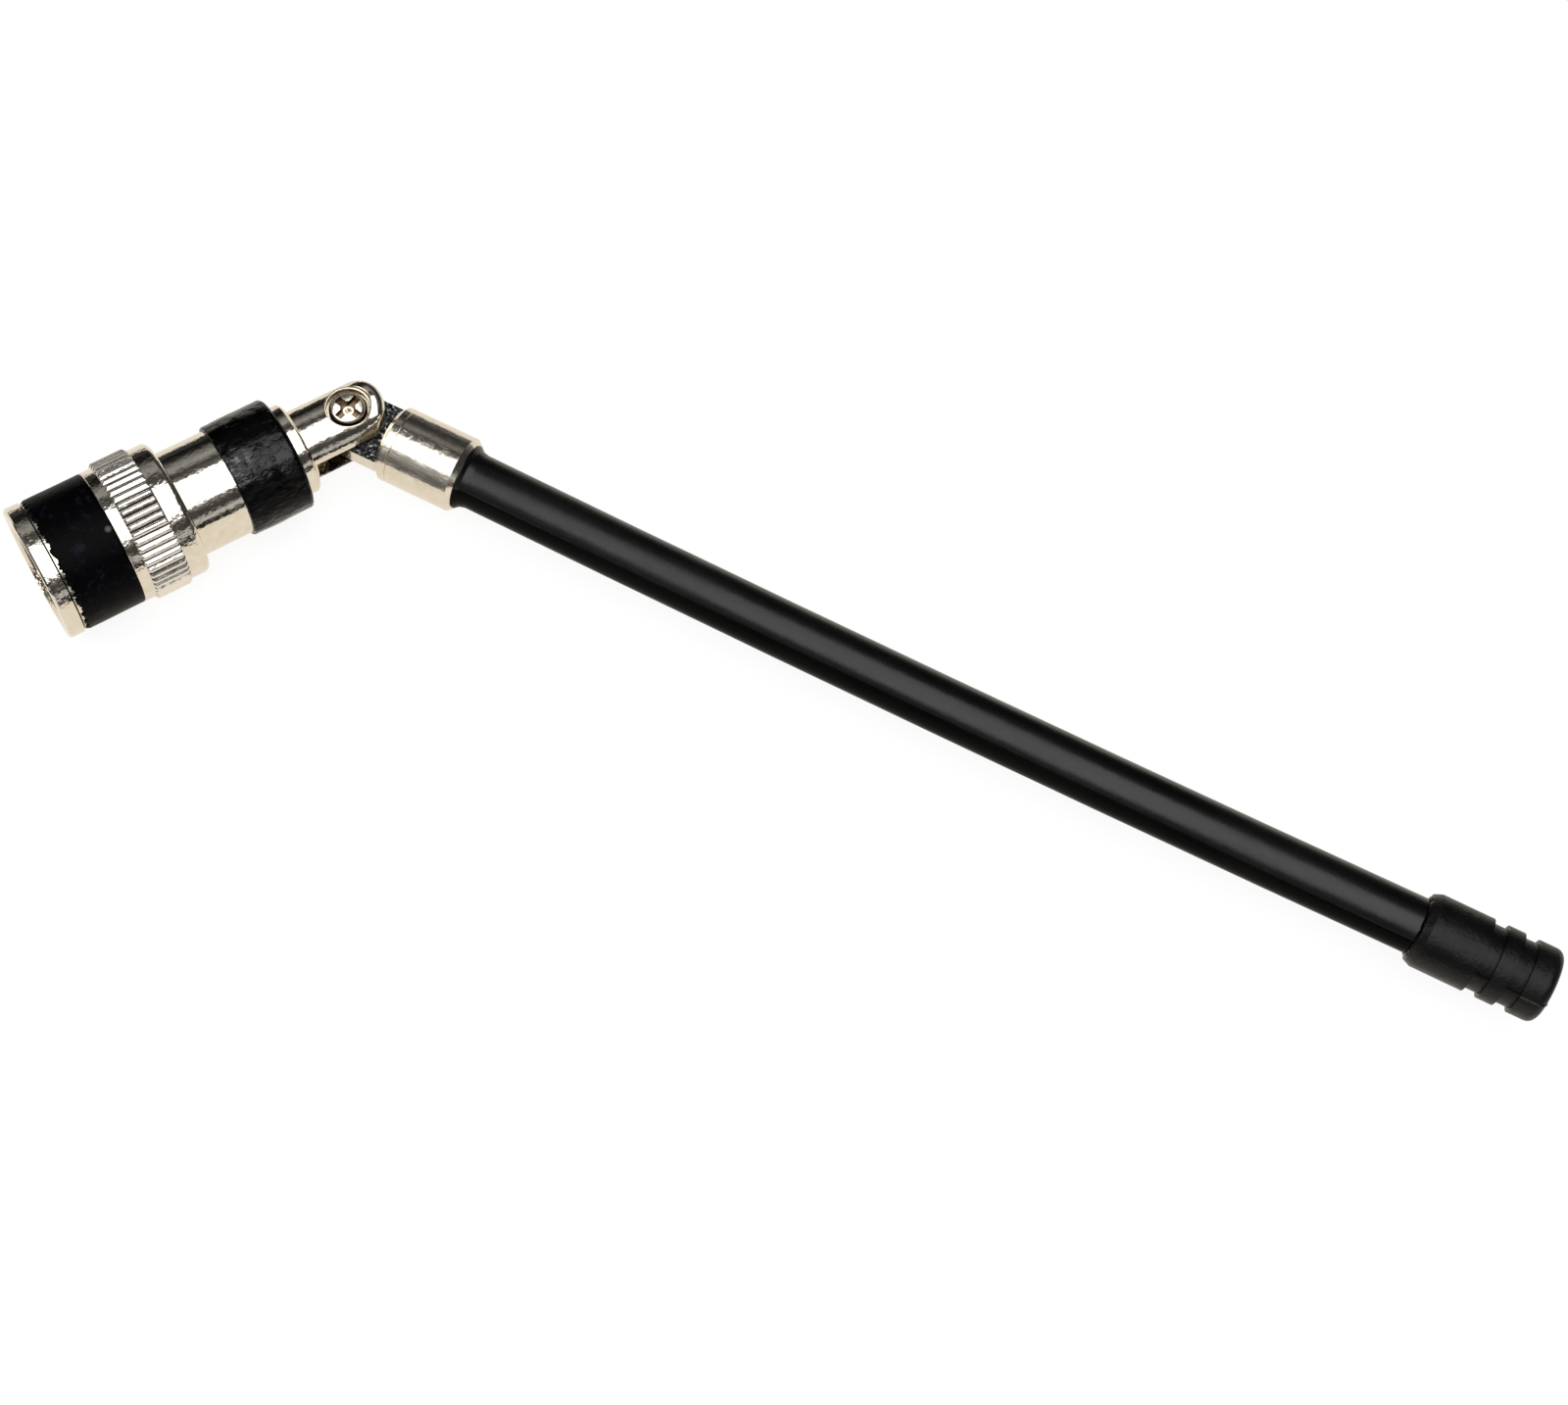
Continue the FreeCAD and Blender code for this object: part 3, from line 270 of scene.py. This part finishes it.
def satin_ferrule():
    """The whip's ferrule: scratched bright barrel and a rough tongue, whose top face is painted with a
    dark reflection and bright painted glints on its grains.
    """
    made = nickel("nickel_satin", -FOLD, tuple(HINGE), low=0.08, high=0.2, peel=1.5e-5, marks=1.2e-6)
    where = made.place(turn=-FOLD, start=tuple(HINGE))
    tongue = made.math("LESS_THAN", made.along(where), BARREL_START)
    tongue = made.math("MULTIPLY", tongue, made.math("GREATER_THAN", made.along(where, "Z"), TONGUE_TOP))
    grain_and_painted_glints = made.noise(where, 2900.0, 4.0, 0.7)
    # Painted reflection: the tongue's top face is coloured near black, and its brightest grains are
    # painted glints.
    dull = made.ramp(grain_and_painted_glints, [(0.44, 0.011), (0.58, 0.10), (0.62, 0.9)])
    tint = made.so_far("Base Color")
    made.colour(made.mix(tongue, tint, dull))
    worn = made.so_far("Roughness")
    made.roughness(made.mix(tongue, worn, made.ramp(grain_and_painted_glints, [(0.3, 0.45), (0.65, 0.25)])))
    made.bump(made.math("MULTIPLY", grain_and_painted_glints, tongue), 1.2e-4)
    scratches = made.noise(made.place((700.0, 9000.0, 9000.0), -FOLD, tuple(HINGE)), 1.0, 5.0, 0.8)
    made.bump(made.ramp(scratches, [(0.55, 0.0), (0.7, 1.0)]), 4e-6)
    return made


def moulded(name, colour, roughness, scale, depth, sheen=0.5, whip=False, stretch=(1.0, 1.0, 1.0)):
    """Rubber or plastic with a fine grain, an uneven sheen and paler patches."""
    made = Finish(name, colour, roughness=roughness)
    made.shader.inputs["Specular IOR Level"].default_value = sheen
    where = made.place(stretch, -FOLD, tuple(HINGE)) if whip else made.place(stretch)
    grain = made.noise(where, scale, 4.0, 0.65)
    patches = made.noise(where, scale / 9.0, 3.0, 0.5)
    pale = tuple(channel * 2.5 for channel in colour)
    made.colour(made.mix(made.ramp(patches, [(0.35, 0.0), (0.75, 1.0)]), colour, pale))
    uneven = made.math("MULTIPLY", grain, patches)
    made.roughness(made.ramp(uneven, [(0.1, roughness - 0.06), (0.45, roughness + 0.1)]))
    made.bump(grain, depth)
    return made


NICKS = (20.3 * MM, -1.6 * MM, 5.6 * MM)


def shrink_tube():
    """Glossy black tubing with a tight, rumpled skin that breaks the light into flecks."""
    made = Finish("black_gloss", (0.001, 0.001, 0.001), roughness=0.15)
    tilt = made.node("ShaderNodeLayerWeight")
    sheen = made.ramp(tilt.outputs["Facing"], [
        (0.0, 0.36), (0.05, 0.30), (0.12, 0.10), (0.40, 0.06), (0.65, 0.12), (1.0, 0.10),
    ])
    flecks = made.noise(made.place((900.0, 2600.0, 2600.0)), 1.0, 4.0, 0.7)
    nearby = made.ramp(made.away(NICKS, 10.0 * MM), [(0.12, 1.0), (0.3, 0.0)])
    nicks = made.math("MULTIPLY", made.ramp(flecks, [(0.5, 0.0), (0.6, 1.0)]), nearby)
    made.link(made.math("ADD", sheen, nicks), made.shader.inputs["Specular IOR Level"])
    folds = made.noise(made.place((500.0, 800.0, 800.0)), 1.0, 3.0, 0.5)
    creases = made.noise(made.place((1500.0, 2600.0, 2600.0)), 1.0, 4.0, 0.65)
    made.colour(made.ramp(folds, [(0.3, (0.0006, 0.0006, 0.0007)), (0.7, (0.0015, 0.0012, 0.0015))]))
    made.roughness(made.ramp(creases, [(0.35, 0.08), (0.7, 0.2)]))
    made.bump(folds, 5e-5)
    rumpled = made.ramp(folds, [(0.42, 0.15), (0.6, 1.0)])
    made.bump(made.math("MULTIPLY", rumpled, creases), 1.3e-4)
    return made


KNOCK = (7.5 * MM, -2.4 * MM, 6.4 * MM)


def nut_coating():
    """Black coating of the nut, with faint bluish rubs and one pale knock near its rear edge."""
    made = moulded("black_band", (0.0004, 0.0004, 0.0007), 0.4, 1300.0, 4e-5, sheen=0.04)
    where = made.place()
    rubs = made.ramp(made.noise(where, 900.0, 4.0, 0.7), [(0.55, 0.0), (0.75, 1.0)])
    tint = made.so_far("Base Color")
    rubbed = made.mix(rubs, tint, (0.010, 0.011, 0.020))
    knock = made.ramp(made.away(KNOCK, MM), [(0.12, 1.0), (0.4, 0.0)])
    made.colour(made.mix(knock, rubbed, (0.10, 0.10, 0.10)))
    return made


SATIN_SIDE = 0.36
DULL_SIDE = 0.03


def whip_rubber():
    """The whip's sheath: moulded in two halves, one side satin and the other dull."""
    black = (0.0012, 0.0012, 0.0012)
    made = moulded("whip_rubber", black, 0.28, 2200.0, 1.2e-5, whip=True, stretch=(0.35, 1.0, 1.0))
    where = made.place(turn=-FOLD, start=tuple(HINGE))
    parting = PARTING_CLOCK / (2.0 * math.pi)
    dull = made.between(made.clock(where), parting, parting + 0.5)
    sheen = made.math("ADD", made.math("MULTIPLY", dull, DULL_SIDE - SATIN_SIDE), SATIN_SIDE)
    made.link(sheen, made.shader.inputs["Specular IOR Level"])
    return made


def gold_plate():
    made = Finish("gold_contact", (0.83, 0.62, 0.30), metallic=1.0, roughness=0.2)
    where = made.place()
    cloud = made.noise(where, 1500.0, 4.0, 0.6)
    made.colour(made.ramp(cloud, [(0.3, (0.70, 0.49, 0.20)), (0.7, (0.87, 0.68, 0.36))]))
    made.roughness(made.ramp(cloud, [(0.3, 0.14), (0.7, 0.3)]))
    made.bump(made.noise(made.place((30000.0, 600.0, 600.0)), 1.0), 1e-6)
    return made


def spring_steel():
    made = Finish("steel", (0.46, 0.45, 0.43), metallic=1.0, roughness=0.3)
    where = made.place()
    cloud = made.noise(where, 2500.0, 5.0, 0.7)
    made.colour(made.ramp(cloud, [(0.3, (0.32, 0.31, 0.30)), (0.7, (0.55, 0.54, 0.51))]))
    made.roughness(made.ramp(cloud, [(0.3, 0.22), (0.75, 0.42)]))
    made.bump(cloud, 2e-6)
    return made


def white_plastic():
    made = Finish("white_insulator", (0.80, 0.79, 0.75), roughness=0.4)
    where = made.place()
    cloud = made.noise(where, 800.0, 4.0, 0.6)
    made.colour(made.ramp(cloud, [(0.3, (0.74, 0.72, 0.66)), (0.7, (0.84, 0.83, 0.80))]))
    made.roughness(made.ramp(cloud, [(0.3, 0.32), (0.7, 0.5)]))
    made.shader.inputs["Subsurface Weight"].default_value = 0.1
    made.shader.inputs["Subsurface Scale"].default_value = 0.0005
    made.bump(made.noise(made.place((20000.0, 500.0, 500.0)), 1.0), 2e-6)
    return made


finishes = {
    "nickel": nickel("nickel"),
    "nickel_nut": knurled_nut(),
    "nickel_screw": screw_head(),
    "nickel_cup": leaning_nickel("nickel_cup", 0.2, 0.3),
    "nickel_satin": satin_ferrule(),
    "black_band": nut_coating(),
    "gasket_rubber": moulded("gasket_rubber", (0.10, 0.018, 0.012), 0.6, 3500.0, 6e-6),
    "white_insulator": white_plastic(),
    "gold_contact": gold_plate(),
    "steel": spring_steel(),
    "black_gloss": shrink_tube(),
    "black_plastic": moulded("black_plastic", (0.005, 0.005, 0.005), 0.45, 3000.0, 5e-6, sheen=0.3),
    "whip_rubber": whip_rubber(),
    "cap_rubber": moulded("cap_rubber", (0.002, 0.002, 0.002), 0.34, 1300.0, 8e-5, sheen=0.2, whip=True),
}

node_finish = {
    "coupling_nut": "nickel_nut",
    "nut_band": "black_band",
    "outer_contact": "nickel",
    "mouth_gasket": "gasket_rubber",
    "front_insulator": "white_insulator",
    "centre_pin": "gold_contact",
    "stem_lead": "gold_contact",
    "spring_washer": "steel",
    "thrust_washer": "steel",
    "plug_body": "nickel",
    "insulating_sleeve": "black_gloss",
    "rear_bush": "black_plastic",
    "hinge_fork": "nickel",
    "screw_cup": "nickel_cup",
    "hinge_screw": "nickel_screw",
    "friction_washer_upper": "steel",
    "friction_washer_lower": "steel",
    "whip_ferrule": "nickel_satin",
    "whip_core": "steel",
    "whip_sheath": "whip_rubber",
    "tip_cap": "cap_rubber",
    "cap_adhesive": "black_gloss",
}


def dress(thing, finish):
    slots = thing.data.materials
    if len(slots) == 0:
        slots.append(finish.material)
    for index in range(len(slots)):
        slots[index] = finish.material


for node_name, finish_name in node_finish.items():
    dress(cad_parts[node_name], finishes[finish_name])


# Pieces that the solids only stand in for

def unevenness(along, turn, spread, seed):
    """A smooth value from about -1 to 1 that closes on itself round the axis."""
    across = Vector((0.0, math.cos(turn), math.sin(turn))) * spread[1]
    return noise.noise(across + Vector((along / MM * spread[0], 0.0, seed)))


def skin(name, outline, around, shift, place=Matrix.Identity(4)):
    """A ring of skin round the X axis from a closed (along, radius) outline; shift moves each point."""
    build = bmesh.new()
    rows = []
    for along, radius in outline:
        row = []
        for j in range(around):
            turn = 2.0 * math.pi * j / around
            x, r = shift(along, radius, turn)
            row.append(build.verts.new(place @ Vector((x, -r * math.sin(turn), r * math.cos(turn)))))
        rows.append(row)
    for i in range(len(rows)):
        near = rows[i]
        far = rows[(i + 1) % len(rows)]
        for j in range(around):
            k = (j + 1) % around
            build.faces.new((near[j], far[j], far[k], near[k]))
    bmesh.ops.recalc_face_normals(build, faces=build.faces)
    for face in build.faces:
        face.smooth = True
    data = bpy.data.meshes.new(name)
    build.to_mesh(data)
    build.free()
    piece = bpy.data.objects.new(name, data)
    bpy.context.scene.collection.objects.link(piece)
    return piece


def steps(first, last, count):
    return [first + (last - first) * i / (count - 1) for i in range(count)]


def make_band():
    """Black coating over the nut: its front edge is chipped where it meets the bright rim."""
    low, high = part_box("nut_band")
    start = low.x
    end = high.x
    radius = high.z
    lip_radius = 6.67 * MM
    seat_radius = 6.27 * MM
    thick = 0.05 * MM
    bevel = 0.07 * MM
    lap = 0.3 * MM
    outline = [(start - lap, lip_radius), (start - lap, lip_radius + thick)]
    outline += [(start - lap * 0.5, lip_radius + thick * 2.0)]
    outline += [(along, radius) for along in steps(start + bevel, end - bevel, 40)]
    outline += [(end, radius - bevel), (end, seat_radius)]
    outline += [(start + bevel, seat_radius), (start + bevel, lip_radius)]

    def shift(along, r, turn):
        ragged = unevenness(0.0, turn, (0.0, 9.0), 3.0) + 0.7 * unevenness(0.0, turn, (0.0, 24.0), 8.0)
        front = max(0.0, (start + bevel - along) / (lap + bevel))
        back = max(0.0, min(lap * 0.98, lap * (0.4 + 2.0 * ragged)))
        wave = 0.012 * MM * unevenness(along, turn, (0.7, 5.0), 1.0) if r > lip_radius + thick else 0.0
        return along + front * back, r + wave

    band = skin("band_shrink", outline, 480, shift)
    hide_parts("nut_band")
    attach(band, "nut")
    dress(band, finishes["black_band"])


def make_sleeve():
    """Heat-shrunk sleeve: drawn in at both ends, with soft rumples over its length."""
    low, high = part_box("insulating_sleeve")
    start = low.x
    end = high.x
    radius = high.z
    seat_radius = 5.17 * MM
    corner = 0.4 * MM
    outline = [(start, seat_radius), (start, radius - 0.16 * MM), (start + 0.05 * MM, radius - 0.06 * MM)]
    outline += [(along, radius) for along in steps(start + 0.2 * MM, end - corner, 46)]
    for i in range(1, 7):
        lean = math.radians(90.0) * i / 6
        outline.append((end - corner + corner * math.sin(lean), radius - corner + corner * math.cos(lean)))
    outline.append((end, seat_radius))

    def shift(along, r, turn):
        outer = 1.0 if r > radius - corner * 1.2 else 0.0
        rumple = 0.06 * unevenness(along, turn, (0.45, 2.6), 2.0)
        rumple += 0.03 * unevenness(along, turn, (1.3, 7.0), 5.0)
        drawn = -0.04 * ((along - start) / (end - start) - 0.5) ** 2
        wander = 0.05 * unevenness(0.0, turn, (0.0, 3.0), 6.0)
        return along + outer * MM * wander, r + outer * MM * (rumple + drawn)

    sleeve = skin("sleeve_shrink", outline, 256, shift)
    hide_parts("insulating_sleeve")
    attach(sleeve, "plug")
    dress(sleeve, finishes["black_gloss"])


def make_glue():
    """Bead of adhesive squeezed out between the whip and its cap."""
    near, far = reach("cap_adhesive")
    inner = 2.845 * MM
    outer = 3.24 * MM
    mouth = near + 0.12 * MM
    outline = [(far, inner), (near, inner)]
    outline += [(near - 0.08 * MM, inner + 0.08 * MM), (near - 0.02 * MM, inner + 0.2 * MM)]
    outline += [(mouth - 0.04 * MM, outer - 0.05 * MM), (mouth + 0.06 * MM, outer), (far, outer)]

    def shift(along, r, turn):
        proud = 1.0 if along < mouth and r > inner + 0.01 * MM else 0.0
        lump = 0.11 * unevenness(0.0, turn, (0.0, 4.0), 4.0)
        lump += 0.07 * unevenness(0.0, turn, (0.0, 11.0), 7.0)
        return along - proud * MM * (lump + 0.04), r

    glue = skin("glue_bead", outline, 200, shift, WHIP_PLACE)
    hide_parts("cap_adhesive")
    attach(glue, "whip")
    dress(glue, finishes["black_gloss"])


def ridge(name, spine, clock, width, height):
    """A low moulding seam along (along, radius) points, at one clock angle round the whip."""
    build = bmesh.new()
    turn = Matrix.Rotation(clock, 4, "X")
    sunk = -0.02 * MM
    rows = []
    for i, (along, radius, sag) in enumerate(spine):
        before = spine[max(i - 1, 0)]
        after = spine[min(i + 1, len(spine) - 1)]
        run = Vector((after[0] - before[0], after[1] - before[1])).normalized()
        row = []
        for side, lift in ((-0.5, sunk), (0.0, height), (0.5, sunk)):
            spot = Vector((along - run.y * lift, side * width, radius + run.x * lift))
            row.append(build.verts.new(WHIP_PLACE @ (turn @ spot + Vector((0.0, sag, 0.0)))))
        rows.append(row)
    for near, far in zip(rows, rows[1:]):
        for j in range(3):
            k = (j + 1) % 3
            build.faces.new((near[j], far[j], far[k], near[k]))
    build.faces.new(rows[0])
    build.faces.new(list(reversed(rows[-1])))
    bmesh.ops.recalc_face_normals(build, faces=build.faces)
    data = bpy.data.meshes.new(name)
    build.to_mesh(data)
    build.free()
    piece = bpy.data.objects.new(name, data)
    bpy.context.scene.collection.objects.link(piece)
    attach(piece, "whip")
    return piece


def make_seams():
    """Moulding seams: two along the whip, and one over the cap's end in two halves."""
    near = 14.35 * MM
    far = reach("cap_adhesive")[0] - 0.1 * MM
    bend_end = 116.5 * MM
    sag = 0.35 * MM
    whip_radius = 2.84 * MM
    middle = (near + bend_end) / 2
    half = (bend_end - near) / 2
    spine = []
    for along in steps(near, far, 80):
        bow = -sag * (1.0 - ((along - middle) / half) ** 2)
        spine.append((along, whip_radius, bow))
    for name, clock in (("whip_seam_near", PARTING_CLOCK), ("whip_seam_far", PARTING_CLOCK + math.pi)):
        seam = ridge(name, spine, clock, 0.24 * MM, 0.01 * MM)
        dress(seam, finishes["whip_rubber"])
    cap_end = reach("tip_cap")[1]
    radius = 3.77 * MM
    corner = 0.95 * MM
    cap_side = 2.6 * MM
    for name, clock in (("cap_seam_near", PARTING_CLOCK), ("cap_seam_far", PARTING_CLOCK + math.pi)):
        spine = [(along, radius, 0.0) for along in steps(cap_end - cap_side, cap_end - corner, 4)]
        for i in range(1, 9):
            lean = math.radians(90.0) * i / 8
            along = cap_end - corner + corner * math.sin(lean)
            spine.append((along, radius - corner + corner * math.cos(lean), 0.0))
        spine += [(cap_end, r, 0.0) for r in steps(radius - corner * 1.3, 0.0, 6)]
        seam = ridge(name, spine, clock, 0.3 * MM, 0.08 * MM)
        dress(seam, finishes["cap_rubber"])


make_band()
make_sleeve()
make_glue()
make_seams()


# Stage

def stage_mesh(name, verts, faces):
    data = bpy.data.meshes.new(name)
    data.from_pydata(verts, [], faces)
    thing = bpy.data.objects.new(name, data)
    bpy.context.scene.collection.objects.link(thing)
    return thing


def seen_by(tree):
    """1 for camera, glossy and transmission rays, 0 for the rays that light the object."""
    rays = tree.nodes.new("ShaderNodeLightPath")
    first = tree.nodes.new("ShaderNodeMath")
    first.operation = "MAXIMUM"
    second = tree.nodes.new("ShaderNodeMath")
    second.operation = "MAXIMUM"
    tree.links.new(rays.outputs["Is Camera Ray"], first.inputs[0])
    tree.links.new(rays.outputs["Is Glossy Ray"], first.inputs[1])
    tree.links.new(first.outputs[0], second.inputs[0])
    tree.links.new(rays.outputs["Is Transmission Ray"], second.inputs[1])
    return second.outputs[0]


FLOOR_GLOW = (0.88, 0.88, 0.88)
FLOOR_IN_METAL = (0.81, 0.75, 0.65)


def make_floor():
    """White paper: it glows to the camera, creamier in reflections, and still takes the shadow."""
    half = 4.0
    corners = ((-half, -half), (half, -half), (half, half), (-half, half))
    floor = stage_mesh("floor", [(x, y, FLOOR_Z) for x, y in corners], [(0, 1, 2, 3)])
    made = Finish("floor_paper", (0.8, 0.8, 0.8), roughness=1.0)
    tree = made.tree
    tree.nodes.remove(made.shader)
    paper = tree.nodes.new("ShaderNodeBsdfDiffuse")
    glow = tree.nodes.new("ShaderNodeEmission")
    both = tree.nodes.new("ShaderNodeAddShader")
    pick = tree.nodes.new("ShaderNodeMixShader")
    faint = tree.nodes.new("ShaderNodeBsdfDiffuse")
    paper.inputs["Color"].default_value = (0.8, 0.79, 0.77, 1.0)
    faint.inputs["Color"].default_value = (0.17, 0.17, 0.17, 1.0)
    rays = tree.nodes.new("ShaderNodeLightPath")
    white = made.mix(rays.outputs["Is Glossy Ray"], FLOOR_GLOW, FLOOR_IN_METAL)
    tree.links.new(white, glow.inputs["Color"])
    tree.links.new(faint.outputs[0], both.inputs[0])
    tree.links.new(glow.outputs[0], both.inputs[1])
    tree.links.new(seen_by(tree), pick.inputs[0])
    tree.links.new(paper.outputs[0], pick.inputs[1])
    tree.links.new(both.outputs[0], pick.inputs[2])
    tree.links.new(pick.outputs[0], tree.nodes["Material Output"].inputs["Surface"])
    floor.data.materials.append(made.material)


def make_world():
    """Soft light from all round the object, and a white background behind it."""
    world = bpy.data.worlds.new("studio")
    bpy.context.scene.world = world
    world.use_nodes = True
    tree = world.node_tree
    soft = tree.nodes["Background"]
    soft.inputs["Color"].default_value = (1.0, 1.0, 1.0, 1.0)
    soft.inputs["Strength"].default_value = 0.35
    white = tree.nodes.new("ShaderNodeBackground")
    white.inputs["Color"].default_value = (1.0, 1.0, 1.0, 1.0)
    white.inputs["Strength"].default_value = 1.0
    pick = tree.nodes.new("ShaderNodeMixShader")
    tree.links.new(seen_by(tree), pick.inputs[0])
    tree.links.new(soft.outputs[0], pick.inputs[1])
    tree.links.new(white.outputs[0], pick.inputs[2])
    tree.links.new(pick.outputs[0], tree.nodes["World Output"].inputs["Surface"])


SOFTBOX_HEIGHT = 0.6
SOFTBOX_SIZE = (0.81, 0.72)
SOFTBOX_CENTRE = (-0.135, -0.20)
SOFTBOX_RADIANCE = 2.2


def make_softbox():
    """The one soft lamp, above the object and to its left."""
    lamp = bpy.data.lights.new("softbox", "AREA")
    lamp.shape = "RECTANGLE"
    lamp.size = SOFTBOX_SIZE[0]
    lamp.size_y = SOFTBOX_SIZE[1]
    lamp.energy = SOFTBOX_RADIANCE * math.pi * SOFTBOX_SIZE[0] * SOFTBOX_SIZE[1]
    thing = bpy.data.objects.new("softbox", lamp)
    thing.location = (*SOFTBOX_CENTRE, SOFTBOX_HEIGHT)
    bpy.context.scene.collection.objects.link(thing)


ROOM_RADIUS = 1.3
PAPER_CORNERS = ((-0.06, -0.175), (0.165, -0.175), (0.165, 0.05), (-0.06, 0.05))


def room_shape():
    """A dome, and round the paper a flat ring just over the floor that paints a dark reflection of the
    floor past the paper's edge.
    """
    rings = 24
    around = 48
    verts = []
    for i in range(rings + 1):
        lift = math.radians(90.0) * i / rings
        flat = ROOM_RADIUS * math.cos(lift)
        high = ROOM_RADIUS * math.sin(lift) + FLOOR_Z
        for j in range(around):
            turn = 2.0 * math.pi * j / around
            verts.append((flat * math.cos(turn), flat * math.sin(turn), high))
    faces = []
    for i in range(rings):
        for j in range(around):
            k = (j + 1) % around
            faces.append((i * around + j, (i + 1) * around + j, (i + 1) * around + k, i * around + k))
    first = len(verts)
    low = FLOOR_Z + 0.3 * MM
    for x, y in ((-1.0, -1.0), (1.0, -1.0), (1.0, 1.0), (-1.0, 1.0)):
        verts.append((x * ROOM_RADIUS, y * ROOM_RADIUS, low))
    for x, y in PAPER_CORNERS:
        verts.append((x, y, low))
    for i in range(4):
        k = (i + 1) % 4
        faces.append((first + i, first + k, first + 4 + k, first + 4 + i))
    return verts, faces


def make_reflection_dome():
    """A glowing dome seen only in reflections, standing in for the unlit studio round the softbox: painted
    dark walls with a few paler strips.
    """
    room = stage_mesh("reflection_dome", *room_shape())
    room.visible_camera = False
    room.visible_diffuse = False
    room.visible_shadow = False
    room.visible_transmission = False
    made = Finish("painted_reflection_walls", (0.0, 0.0, 0.0))
    tree = made.tree
    tree.nodes.remove(made.shader)
    where = made.place((1.0 / ROOM_RADIUS, 1.0 / ROOM_RADIUS, 1.0 / ROOM_RADIUS))
    height = made.along(where, "Z")
    far_side = made.ramp(height, [
        (0.0, 0.05), (0.14, 0.006), (0.34, 0.02), (0.55, 0.22), (0.71, 0.38), (0.84, 0.04), (0.95, 0.14),
    ])
    near_side = made.ramp(height, [
        (0.0, 0.02), (0.10, 0.02), (0.20, 0.62), (0.27, 0.62), (0.38, 0.05), (0.60, 0.07), (0.76, 0.4),
    ])
    left_side = made.ramp(height, [
        (0.0, 0.2), (0.1, 0.15), (0.29, 0.17), (0.47, 0.33), (0.64, 0.42), (0.8, 0.6),
    ])
    right_side = made.ramp(height, [
        (0.0, 0.14), (0.1, 0.1), (0.29, 0.04), (0.64, 0.045), (0.78, 0.13), (0.9, 0.24),
    ])
    sideways = made.along(where, "X")
    farness = made.math("ADD", made.math("MULTIPLY", made.along(where, "Y"), 2.0), 0.5)
    leftward = made.math("MULTIPLY", sideways, -1.0)
    leftness = made.math("MULTIPLY", made.math("SUBTRACT", leftward, 0.35), 2.5)
    rightness = made.math("MULTIPLY", made.math("SUBTRACT", sideways, 0.25), 3.0)
    for share in (farness, leftness, rightness):
        share.node.use_clamp = True
    walls = made.mix(leftness, made.mix(farness, near_side, far_side), left_side)
    walls = made.mix(rightness, walls, right_side)
    # Painted reflection: the dome's emission paints the dark and pale bands that the metal reflects.
    glow = tree.nodes.new("ShaderNodeEmission")
    tree.links.new(walls, glow.inputs["Color"])
    tree.links.new(glow.outputs[0], tree.nodes["Material Output"].inputs["Surface"])
    room.data.materials.append(made.material)


CAMERA_PLACE = Vector((-0.01246, -0.12518, 0.23503))
CAMERA_RIGHT = Vector((0.8473, -0.5264, 0.0709))
CAMERA_FORWARD = Vector((0.2644, 0.3022, -0.9158))
FOCAL_LENGTH_IN_PIXELS = 2716.5
IMAGE_WIDTH = 1600.0


def make_camera():
    data = bpy.data.cameras.new("camera")
    data.sensor_fit = "HORIZONTAL"
    data.sensor_width = 36.0
    data.lens = FOCAL_LENGTH_IN_PIXELS / IMAGE_WIDTH * data.sensor_width
    data.clip_start = 0.01
    data.clip_end = 20.0
    camera = bpy.data.objects.new("camera", data)
    bpy.context.scene.collection.objects.link(camera)
    back = -CAMERA_FORWARD.normalized()
    up = back.cross(CAMERA_RIGHT).normalized()
    right = up.cross(back)
    facing = Matrix((right, up, back)).transposed().to_4x4()
    camera.matrix_world = Matrix.Translation(CAMERA_PLACE) @ facing
    bpy.context.scene.camera = camera


make_floor()
make_world()
make_softbox()
make_reflection_dome()
make_camera()
bpy.context.scene.view_settings.view_transform = "Standard"
